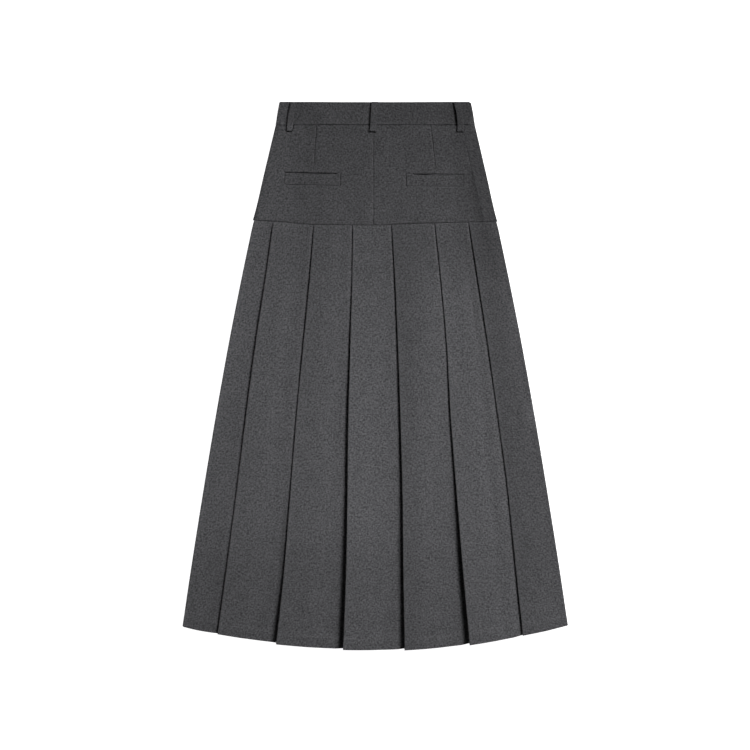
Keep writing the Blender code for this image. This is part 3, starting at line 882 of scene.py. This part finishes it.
def yokeBackGrid(side, way):
    def columnLines(down):
        outer = -sideFold(down)[1] if way < 0 else halfWidth(down) - sideSeamIn - yoke["sidePlay"]
        return [
            np.full_like(down, centreBack + way * halfGap), pocketColumn(side, -way, down),
            dartX(side, down), pocketColumn(side, way, down), outer,
        ]

    def rowLines(x):
        return [np.full_like(x, bandEnd), pocketRow(side, 1, x), pocketRow(side, -1, x), yokeLine(x) - halfGap]

    columns = guided((0.055, 0.05, 0.05, 0.03 if way < 0 else 0.02), way > 0)
    rows = guided((0.086, 0.0223, 0.068))
    x = np.full((len(rows), len(columns)), way * 0.1)
    down = np.full_like(x, 0.13)
    for _ in range(8):
        lines = columnLines(down)
        x = np.stack([mixed(lines[i][:, k], lines[i + 1][:, k], s) for k, (i, s) in enumerate(columns)], axis=-1)
        lines = rowLines(x)
        down = np.stack([mixed(lines[i][k], lines[i + 1][k], s) for k, (i, s) in enumerate(rows)], axis=0)
    guideOf, rowOf = (np.array([i for i, _ in found[:-1]]) for found in (columns, rows))
    return x, down, (rowOf[:, None] == 1) & ((guideOf == 1) | (guideOf == 2))


def yokeSeamDrop(x, down):
    deep, reach = yoke["seamTurn"]
    return turnedDown(yokeLine(x) - down, deep * along(yoke["seamDeep"], x), reach)


def sideRidge(x, down):
    past = x - (halfWidth(down) - sideSeamIn - 0.003 * fade(down, 0.15, 0.1))
    before = np.clip(1 + past / yoke["ridgeReach"][0], 0, 1) ** 2
    after = eased(1 - past / yoke["ridgeReach"][1])
    return yoke["sideRidge"] * fade(down, 0.095, 0.135) * np.where(past < 0, before, after)


def yokeRelief(side, x, down):
    # seams, dart, pocket edges and soft unevenness of one half of the back
    p, dart = pockets[side], darts[side]
    z = yoke["ripple"] * ripple(x, down, 0.04, 0.055, 11 if side == "left" else 12)
    z = z - turnedDown(down - bandEnd, *yoke["bandTurn"]) - yokeSeamDrop(x, down)
    if side == "right":
        z = z + sideRidge(x, down)
    z = z - turnedDown(np.abs(x - centreBack), *yoke["centreTurn"])
    aside = x - dartX(side, down)
    fold = ridge(aside, *yoke["dartRidge"]) - ridge(aside, *dart["groove"])
    if "crease" in dart:
        fold = fold - ridge(aside, *dart["crease"]) * fade(down, *yoke["creaseFrom"])
    z = z + fold * fade(down, *yoke["dartEnd"])
    # edges of the pocket opening
    u, v = pocketPlace(side, x, down)
    outU, outV = np.abs(u) - p["wide"] / 2, np.abs(v) - pocket["high"] / 2
    outside, above = np.maximum(outU, outV), np.maximum(v - pocket["high"] / 2, 0)
    drop, reach = pocket["edgeTurn"]
    seam = turnedDown(np.maximum(outside, 0), drop * np.where(v < 0, p["seam"], 1.0), reach)
    fold = ridge(above, *pocket["slitRidge"]) - turnedDown(above, drop, reach)
    z = z - np.where(outside > -1e-6, seam, 0)
    return z + np.where(v > 0, fold * eased(1 - np.maximum(outU, 0) / pocket["ridgeEnd"]), 0)


def yokeBack(side, way):
    x, down, hole = yokeBackGrid(side, way)
    z = backSurface(x, down) + yokeRelief(side, x, down)
    if way < 0:
        # carried round the left side fold, nearly to its outermost point
        turn = np.radians(np.linspace(80, 8, 7))
        edgeDown = np.repeat(down[:, -1:], len(turn), axis=1)
        radius, flat = sideFold(edgeDown)
        edgeX, rise = foldRound(flat, radius, turn, way)
        drops = turnedDown(edgeDown - bandEnd, *yoke["bandTurn"]) + yokeSeamDrop(edgeX, edgeDown)
        edgeZ = wall / 2 + rise - drops * np.sin(turn)
        x, down, z = (np.concatenate(pair, axis=1) for pair in ((x, edgeX), (down, edgeDown), (z, edgeZ)))
        hole = np.pad(hole, ((0, 0), (0, len(turn))))
    else:
        z = z - turnedDown(np.abs(halfWidth(down) - sideSeamIn - x), *yoke["sideTurn"])
    u, v = pocketPlace(side, x, down)
    # painted highlights above the pocket slit, above the lower seam, beside the centre seam and beside the left dart
    aboveSlit = ridge(v - pocket["high"] / 2, *pocket["pressedOrHighlight"]) * (np.abs(u) < pockets[side]["wide"] / 2)
    aboveSeam = ridge(yokeLine(x) - down, *yoke["seamHighlight"]) * mixed(*yoke["seamHighlightAt"], fade(x, -0.02, 0.02))
    besideCentre = ridge(x - centreBack, *yoke["centreHighlight"])
    edge = aboveSlit + np.maximum(aboveSeam, besideCentre)
    if "pressedOrHighlight" in darts[side]:
        starts, stops = yoke["dartHighlight"]
        edge = edge + ridge(x - dartX(side, down), *darts[side]["pressedOrHighlight"]) * fade(down, *starts) * fade(down, *stops)
    clothGrid(
        f"yokeBack_{side}", place(x, down, z), (x + 2.3 + way * (0.4 - 0.04 * down), down + 0.9), f"yoke_back_{side}",
        hole=hole, paintedLightScale=upperPaintedShade, edge=edge,
        sheet=dict(flat=(0.236, 0.186), held="laid", rests_on=[f"yokeFront_{side}"]),
    )


for side, way in ways.items():
    yokeBack(side, way)
print("yoke back made")


loops = {
    # name of the node, x at the top and at the foot, how far the strip stands off, its sideways bow, half the
    # height of its folded ends, the way down to its foot and to the end of the tack there, its foot's share of the
    # full width, and the painted highlight on the foot
    "back": (
        ("belt_loop_back_left", -0.1469, -0.1543, 0.0002, -0.001, 0.0007, 0.0524, 0.0549, 0.93, 1.18),
        ("belt_loop_back_centre", -0.0012, -0.0045, 0.0003, -0.0003, 0.00094, 0.0533, 0.0563, 1.0, 1.05),
        ("belt_loop_back_right", 0.1466, 0.1528, 0.002, 0.0022, 0.00095, 0.0536, 0.0558, 1.0, 1.0),
    ),
    "front": (
        ("belt_loop_front_left", -0.1, -0.103, 0.0, 0.0, 0.00105, 0.0536, 0.0, 1.0, 1.0),
        ("belt_loop_front_right", 0.1, 0.103, 0.0, 0.0, 0.00105, 0.0536, 0.0, 1.0, 1.0),
    ),
    "wide": 0.011, "thick": 0.0012, "top": 0.0012,
    "lineTop": 0.002,       # where the line through its middle starts, and how long that is
    "lineLong": 0.0522,
    "held": 0.0042,         # flat length below the top fold before the strip stands off
    "underfold": 0.007,
    "crown": 0.12,
    "tilt": 0.05,
    "clear": 0.0015,        # how far the front rises onto its loops
    "clearBeside": (0.0173, 0.0063),
    "clearBelow": (0.0762, 0.0562),
    "offCloth": (0.00045, 0.00075),         # lowest gap below a flat and a round end
    "wobble": 0.00015,
    "narrowed": (0.03, 0.044),              # on the way down
    "footHighlightFrom": (0.036, 0.042),
    "tackThread": dict(radius=0.00024, rise=0.0002),
    "sideShadowThread": dict(length=0.0026, gap=0.0001, radius=0.00026, rise=0.0001),
    # how far and how closely a foot is tacked: ways left and right of its middle, and step
    "tacks": {"belt_loop_back_left": (-0.0057, 0.0036, 0.00068)},
    "plainTacks": (-0.0057, 0.0056, 0.00034),
    "sideShadowTacks": (0.0412, 0.0548, 0.0008),      # painted shadow: dark stitches down the right side of the left loop's foot
}


def loopMiddle(top, foot, down):
    return mixed(top, foot, np.minimum(1.0, (down - loops["lineTop"]) / loops["lineLong"]))


def onLoop(x, down):        # how much the front rises onto its two belt loops
    aside = np.minimum(*[np.abs(x - loopMiddle(top, foot, down)) for _, top, foot, *_ in loops["front"]])
    return loops["clear"] * fade(aside, *loops["clearBeside"]) * fade(down, *loops["clearBelow"])


def yokeFront(side, way):
    # front layer of one half, round the side fold to its side seam
    share = stations(0.178, yoke["frontSpacing"], near=yoke["near"], far=yoke["near"])[:, None]
    down = mixed(bandEnd, yokeLine(way * 0.12), share)
    radius, flat = sideFold(down)
    low = wall / 2
    runs = []
    if way < 0:     # behind the right half, at the fly
        lap = np.linspace(0, 1, 7, endpoint=False) + 0 * down
        runs.append((mixed(*yoke["fly"][:2], lap), level(1) + 0 * lap))
        runs.append((mixed(*yoke["fly"][1:], lap), mixed(level(1), low, eased(lap))))
    flatX = mixed(0.0 if way > 0 else 0.005, flat, np.linspace(0, 1, 44)) * way
    turn = np.radians(np.linspace(-80, 80, 15) if way > 0 else np.linspace(-80, -8, 7))
    roundX, rise = foldRound(flat, radius, turn, way)
    runs += [(flatX, low + onLoop(flatX, down)), (roundX, low + rise)]
    if way > 0:
        seam = halfWidth(down) - sideSeamIn + yoke["sidePlay"]
        backX = mixed(flat, seam, np.array((0.0, 0.2, 0.4, 0.6, 0.8, 0.9, 0.95, 0.98, 1.0)))
        backZ = backSurface(backX, down) + sideRidge(backX, down) - turnedDown(backX - seam, *yoke["sideTurn"])
        runs.append((backX, backZ))
    x, z = np.concatenate(runs, axis=-1)
    down = mixed(bandEnd, yokeLine(x) - halfGap, share)
    drops = turnedDown(down - bandEnd, *yoke["bandTurn"]) + yokeSeamDrop(x, down)
    points = place(x, down, z - np.where(z > 0.0016, drops, 0))
    clothGrid(
        f"yokeFront_{side}", points, (way * travelled(points) + 4.1 + way, down + 0.3), f"yoke_front_{side}",
        paintedLightScale=upperPaintedShade, sheet=dict(flat=(0.262, 0.186), held="laid", rests_on=["floor"]),
    )


for side, way in ways.items():
    yokeFront(side, way)
print("yoke front made")


def weltPocket(side):
    p, near = pockets[side], pocket["near"]

    def onPocket(u, v, out):        # along and up the pocket, and off the cloth
        x, down = p["x"] + u * p["c"] - v * p["s"], p["down"] - (u * p["s"] + v * p["c"])
        return place(x, down, backSurface(x, down) + out)

    wide, high = p["wide"] - 2 * pocket["play"], pocket["high"]
    u = (stations(wide, pocket["spacing"][0], near=near, far=near) - 0.5)[None, :] * wide
    bottom, top = -high / 2 + pocket["play"], high / 2 - p["slit"]
    v = mixed(bottom, top, stations(top - bottom, pocket["spacing"][1], near=near))[:, None]
    upper = eased((v - bottom) / (top - bottom))
    sag = along(p["gape"], u) + pocket["bow"] * np.cos(pi * u / wide)
    sag = sag + pocket["ripple"] * ripple(u, 0.0, 0.02, 1.0, p["seed"], 5)
    footDrop, reach = pocket["footTurn"]
    drop = turnedDown(wide / 2 - np.abs(u), *pocket["sideTurn"]) + turnedDown(v - bottom, footDrop * p["seam"], reach)
    vs, outs = [v - sag * upper], [pocket["slitRise"] * upper - drop]
    # folded edge at the slit, and the return behind it
    radius = pocket["foldRadius"]
    turn = np.radians(np.linspace(75, -90, 6))[:, None]
    back = np.array([0.3, 0.65, 1.0])[:, None]
    edgeV, edgeOut = vs[0][-1:], outs[0][-1:]
    deep, sink = pocket["return"]
    vs += [edgeV + radius * np.cos(turn), edgeV - deep * back]
    outs += [edgeOut - radius + radius * np.sin(turn), edgeOut - 2 * radius - sink * back]
    points = onPocket(u, np.concatenate(vs), np.concatenate(outs))
    sheet = dict(flat=(round(wide, 4), 0.034), held="folded", rests_on=[f"yokeBack_{side}"])
    order = np.arange(len(points))[:, None] * 0.0025
    clothGrid(f"weltStrip_{side}", points, (u + 5.1, order + 2.2), f"welt_{side}", sheet, paintedLightScale=upperPaintedShade)
    # facing that closes the opening behind the slit
    wide += pocket["facingOver"]
    u = np.linspace(-0.5, 0.5, 26)[None, :] * wide
    v = mixed(high / 2 + pocket["facingAbove"], high / 2 - pocket["facing"], np.linspace(0, 1, 9))[:, None]
    inside = onPocket(u, v, -pocket["facingBelow"])
    grain = (inside[..., 0] + 6.0, skirt["length"] / 2 - inside[..., 1])
    sheet = dict(flat=(round(wide, 4), 0.0222), held="laid", rests_on=[f"yokeBack_{side}"])
    clothGrid(f"pocketFacing_{side}", inside, grain, None, sheet)


for side in ways:
    weltPocket(side)
print("pockets made")


# Waistband

band = {
    "thick": 0.0019, "cadThick": 0.0018,
    "corner": (0.0032, 0.0062),     # left and right
    "topEdge": (0.0001, 0.0009),    # how far the top edge lies below its line, at the sides and in the middle
    "ripple": 0.00022,
    # painted shade in the lower seam, from place to place, and painted highlight on the edge above it
    "crease": ((-0.15, 0.0), (-0.143, 0.75), (-0.118, 0.55), (-0.03, 0.4), (0.06, 0.0)),
    "edge": ((-0.148, 0.95), (-0.141, 1.5), (-0.122, 1.5), (-0.115, 0.95)),
    "creaseReach": 0.0018,
    "edgeAt": (0.0026, 0.0024),
    "upper": 0.006,                 # height from which it is the back
    "lap": (-0.009, -0.0015, 0.03),        # where it goes behind its other end, has done so, and ends
    "underlapZ": 0.0039,
}


def waistband():
    depth, thick, lap = bandDepth - halfGap, band["cadThick"], band["lap"]
    share = stations(depth, 0.0042, near=(0.0006, 0.0013, 0.0024), far=(0.0006, 0.0013, 0.0022, 0.0036))[:, None]
    down = depth * share
    radius, flat = sideFold(down, thick)
    low = thick / 2
    runs = []

    def flatRun(start, end, height, count, ends=()):
        x = mixed(start, end, stations(1.0, 1.0 / count, near=ends, far=ends)[:-1]) + 0 * down
        runs.append((x, height(x) + 0 * x))

    def onFront(x):
        return low + onLoop(x, down)

    def onBack(x):
        soft = band["ripple"] * ripple(x, down, 0.035, 0.05, 5)
        return backSurface(x, down, thick) + soft * eased((flat - np.abs(x)) / 0.02)

    def sideTurned(way):
        x, rise = foldRound(flat, radius, np.radians(np.linspace(-90, 90, 13, endpoint=False)) * way, way)
        runs.append((x, low + rise))

    flatRun(0.0, flat, onFront, 42)
    sideTurned(1)
    flatRun(flat, -flat, onBack, 90, (0.003, 0.006, 0.009, 0.0125, 0.0165))
    sideTurned(-1)
    flatRun(-flat, lap[0], onFront, 42)
    flatRun(*lap[:2], lambda x: mixed(low, band["underlapZ"], fade(x, *lap[:2])), 8)
    underlap = mixed(*lap[1:], np.linspace(0, 1, 9)) + 0 * down
    runs.append((underlap, band["underlapZ"] + 0 * underlap))
    x, z = np.concatenate(runs, axis=-1)
    # rounded corners of the outline at the top
    bend = np.where(x < 0, *band["corner"])
    inward = np.clip(bend - (halfWidth(0.0) - np.abs(x)), 0, bend)
    corner = bend - np.sqrt(bend ** 2 - (inward * 0.95) ** 2)
    topEdge = mixed(*band["topEdge"], 1 - (x / halfWidth(0.0)) ** 2)
    down = down + (corner + topEdge) * (1 - share) ** 2
    points = place(x, down, z)
    arc = travelled(points)
    upward, isBack = depth * (1 - share), z > band["upper"]
    # painted shade in the lower seam and painted highlight on the edge above it
    crease = along(band["crease"], x) * bell(upward, band["creaseReach"]) * isBack
    pressedOrHighlight = np.where(isBack, along(band["edge"], x), band["edge"][0][1])
    under = ["yokeFront_left", "yokeFront_right"]
    sheet = dict(flat=(round(float(arc.max()), 3), 0.0415), held="folded", rests_on=under)
    clothGrid(
        "waistbandStrip", points, (7.7 - down, arc), "waistband", sheet, thickness=band["thick"], rim=0.0007,
        segments=3, paintedLightScale=upperPaintedShade * (1 - crease), edge=ridge(upward, pressedOrHighlight, *band["edgeAt"]),
    )


waistband()
print("waistband made")


# Belt loops

def outerSurface(x, down):      # outer side of the waistband, or of the yoke below it
    onBand = backSurface(x, np.minimum(down, bandDepth), band["cadThick"]) + band["thick"] / 2
    onYoke = backSurface(x, down) + cloth / 2
    return mixed(onBand, onYoke, eased((down - bandDepth + 0.0004) / 0.0012))


def tackRoute(x, down, reach):      # one stitch of a tack, lying on the yoke
    side = "left" if x < centreBack else "right"
    z = outerSurface(x, down) + yokeRelief(side, np.array(x), np.array(down))
    centre = place(x, down, z)
    return [centre + reach, centre - reach], (0, 0, 1)


def roundedFoot(down):      # how far the left loop's lower right corner is rounded off
    return 0.4 * fade(down, 0.047, 0.0538)


def beltLoop(node, top, foot, slack, bow, nose, low, tackEnd, footWide, footHighlight, back):
    thick, wide, fold = loops["thick"], loops["wide"], loops["underfold"]
    isLeft = node == "belt_loop_back_left"
    # middle line of the strip, seen from the side: under at the top, over the waistband, under at the foot
    start, end = loops["top"] + nose, low - nose
    base = loops["offCloth"][int(nose > 0.0008)]
    downs = np.linspace(start, end, 34)
    outs = np.full_like(downs, thick / 2)
    if back:
        bend = np.radians(np.linspace(25, 155, 6))
        slackStart = start + loops["held"]
        slackShare = np.clip((downs - slackStart) / (bandDepth + 0.001 - slackStart), 0, 1)
        outs = base + np.concatenate([
            np.zeros(5), nose * (1 - np.cos(bend)), 2 * nose + slack * np.sin(pi * slackShare),
            nose * (1 + np.cos(bend)), np.zeros(5),
        ])
        downs = np.concatenate([
            np.linspace(start + fold, start, 5), start - nose * np.sin(bend), downs,
            end + nose * np.sin(bend), np.linspace(end, end - fold, 5),
        ])
    sideways = np.sin(pi * np.clip((downs - loops["lineTop"]) / loops["lineLong"], 0, 1))
    middleX = loopMiddle(top, foot, downs) + bow * sideways
    z = outs + (outerSurface(middleX, downs) if back else 0.0)
    # cross-section: a flat tube with rounded long edges and a slight crown
    r, turn = thick / 2, np.radians(np.linspace(-90, 90, 7))
    crown, under = np.array((0.6, 0.25, 0.0, -0.25, -0.6)), np.array((-0.6, -0.2, 0.2, 0.6))
    rightEdge = stacked(wide / 2 - r + r * np.cos(turn), r * np.sin(turn))
    ring = np.concatenate([
        rightEdge, stacked(crown * wide / 2, r * (1.0 + loops["crown"] * (1 - crown ** 2))),
        -rightEdge, stacked(under * wide / 2, -r),
    ])
    across, out = ring.T
    # direction of the strip in the side view, and its normal
    stepDown, stepZ = np.gradient(downs), np.gradient(z)
    size = np.hypot(stepDown, stepZ)
    normalDown, normalZ = (-stepZ / size)[:, None], (stepDown / size)[:, None]
    narrowed = mixed(1.0, footWide, fade(downs, *loops["narrowed"]))[:, None]
    trimmed = 1 - (across > 0) * roundedFoot(downs)[:, None] * isLeft
    wobble = loops["wobble"] * ripple(np.arange(len(downs)) * 1.0, 0.0, 9.0, 1.0, len(node), 4)
    points = place(
        (middleX + wobble)[:, None] + across * narrowed * trimmed, downs[:, None] + out * normalDown,
        z[:, None] + out * normalZ - across * loops["tilt"] * back,
    )
    name = node.replace("belt_loop_", "beltLoop_")
    piece = meshFrom(name, points.reshape(-1, 3), tubeFaces(len(downs), len(ring)), suiting)
    run = travelled(stacked(downs, z)[None])[0]
    flatX = across + 0.004 * np.arange(len(ring)) + len(node) * 0.3
    storeGrain(piece, stacked(flatX, run[:, None] + 3.3).reshape(-1, 2))
    # painted light and shade, with a painted highlight on the foot
    paintedLight = upperPaintedShade * paintedLightAt(middleX, downs) * mixed(1.0, footHighlight, fade(downs, *loops["footHighlightFrom"]))
    storeValue(piece, "paintedLight", np.repeat(paintedLight, len(ring)))
    attach(piece, node)
    if back:        # bar tack across the foot, in near-black thread: partly a real tack, partly a painted shadow under the foot
        tack = tackEnd - low
        footX = middleX[-1] + np.arange(*loops["tacks"].get(node, loops["plainTacks"]))
        routes = [tackRoute(x, (low + tackEnd) / 2, (0, tack * 0.55, 0)) for x in footX]
        stitches(name + "_tack", routes, length=tack, gap=tack * 0.05, **loops["tackThread"])
    # dark stitches down the left foot's right side: a painted shadow line
    if isLeft:
        sideDown = np.arange(*loops["sideShadowTacks"])
        sideX = loopMiddle(top, foot, sideDown) + wide * footWide / 2 * (1 - roundedFoot(sideDown)) + 0.001
        routes = [tackRoute(x, down, (0.0014, 0, 0)) for x, down in zip(sideX, sideDown)]
        stitches(name + "_sideShadowStitches", routes, **loops["sideShadowThread"])


for values in loops["back"]:
    beltLoop(*values, True)
for values in loops["front"]:
    beltLoop(*values, False)
print("belt loops made")


# Closure at the front

closure = {
    "tape": (0.0006, 0.0001),       # thickness and rim
    "pitch": 0.0018,
    # outline of a tooth: from the middle outwards, and along in shares of the pitch
    "tooth": ((0.0, -0.3), (0.002, -0.3), (0.0024, 0.0), (0.002, 0.3), (0.0, 0.3), (-0.0006, 0.0)),
    "toothTop": 0.0003, "toothHigh": 0.0005,
    "metal": ("fly_zip_slider", "waist_hook", "waist_bar"),
    "stitchX": 0.036, "stitchDown": (0.043, 0.165), "stitchTurn": (0.033, 0.03), "stitchZ": 0.0001,
}


def flyZip():
    low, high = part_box("fly_zip")
    middle, z = (low.x + high.x) / 2, (low.z + high.z) / 2
    rows, columns = np.linspace(high.y, low.y, 40)[:, None], np.linspace(low.x, high.x, 13)
    thickness, rim = closure["tape"]
    tape = clothGrid(
        "flyZipTape", stacked(columns, rows, z), (columns + 9.0, rows + 9.0), "fly_zip", thickness=thickness, rim=rim,
    )
    tape.data.materials[0] = zipTape
    vertices, faces = [], []
    pitch, top = closure["pitch"], z - closure["toothTop"]
    for i in range(int((high.y - low.y) / pitch)):
        for way, share in ((-1, 0.75), (1, 0.25)):
            y = low.y + pitch * (i + share)
            first = len(vertices)
            for dx, dy in closure["tooth"]:
                for height in (top, top - closure["toothHigh"]):
                    vertices.append((middle + way * dx, y + dy * pitch, height))
            for k in range(6):
                a, b = first + 2 * k, first + 2 * ((k + 1) % 6)
                faces.append((a, b, b + 1, a + 1))
            faces.append(tuple(first + 2 * k for k in range(6)))
            faces.append(tuple(first + 2 * k + 1 for k in range(5, -1, -1)))
    teeth = meshFrom("flyZipTeeth", vertices, faces, zipTape)
    attach(teeth)
    for node in closure["metal"]:
        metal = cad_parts[node]
        if not metal.material_slots:
            metal.data.materials.append(trimMetal)
        for materialSlot in metal.material_slots:
            materialSlot.material = trimMetal


def flyStitch():
    down, turn = np.linspace(*closure["stitchDown"], 20), np.linspace(0, pi / 2, 12)
    turnX, turnDown = closure["stitchTurn"]
    x = np.concatenate([np.full(20, closure["stitchX"]), closure["stitchX"] - turnX * (1 - np.cos(turn))])
    down = np.concatenate([down, down[-1] + turnDown * np.sin(turn)])
    stitches("flyTopstitch", [(place(x, down, closure["stitchZ"]), (0, 0, -1))], rise=0.00005)


flyZip()
flyStitch()
print("closure made")


# Table, light and camera

studio = {
    "floor": (0.9, 0.9, 0.9),
    "floorMottle": 0.01,
    "floorGlow": 1.05,
    "floorZ": -0.0004,
    "world": 0.008,
    # watts, size, place and aim of each light
    "overheadSoft": (0.3, (2.6, 2.6), (0.2, -0.25, 3.4), (0, -0.08, 0)),
    "keySoft": (8.7, (1.5, 1.5), (1.5, 0.765, 1.66), (0.01, -0.19, 0)),
    "fillSoft": (0.4, (1.5, 1.5), (-1.6, -0.3, 1.5), (0, -0.12, 0)),
    "spread": 45.0,         # of the last two
    "lens": 100.0,
    "height": 3.752,
    "aim": (-0.0005, 0.0014),
}


def makeFloor():
    z, colour = studio["floorZ"], studio["floor"]
    darker = [c - studio["floorMottle"] for c in colour]
    paleTable = twoToned(
        "paleTable", (3.0,), (darker, colour),
        {"Roughness": 0.9, "Emission Color": (1, 1, 1, 1), "Emission Strength": studio["floorGlow"]},
    )
    floor = meshFrom("floor", [(-9, -9, z), (9, -9, z), (9, 9, z), (-9, 9, z)], [(0, 1, 2, 3)], paleTable)


def areaLight(name):
    energy, size, at, aim = studio[name]
    data = bpy.data.lights.new(name, "AREA")
    data.shape = "RECTANGLE"
    data.size, data.size_y = size
    data.energy = energy
    lamp = bpy.data.objects.new(name, data)
    lamp.location = at
    lamp.rotation_euler = (Vector(aim) - Vector(at)).to_track_quat("-Z", "Y").to_euler()
    lamp.visible_camera = False
    scene.collection.objects.link(lamp)
    return data


def makeStudio():
    makeFloor()
    world = bpy.data.worlds.new("studioWorld")
    world.use_nodes = True
    tune(world.node_tree.nodes["Background"], {"Color": (1, 1, 1, 1), "Strength": studio["world"]})
    scene.world = world
    areaLight("overheadSoft")
    for name in ("keySoft", "fillSoft"):
        areaLight(name).spread = radians(studio["spread"])
    data = bpy.data.cameras.new("topCamera")
    data.lens, data.sensor_width = studio["lens"], 36.0
    camera = bpy.data.objects.new("topCamera", data)
    camera.location = (*studio["aim"], studio["height"])
    scene.collection.objects.link(camera)
    scene.camera = camera
    scene.view_settings.view_transform = "Standard"
    scene.view_settings.look = "None"


makeStudio()
print("studio ready")
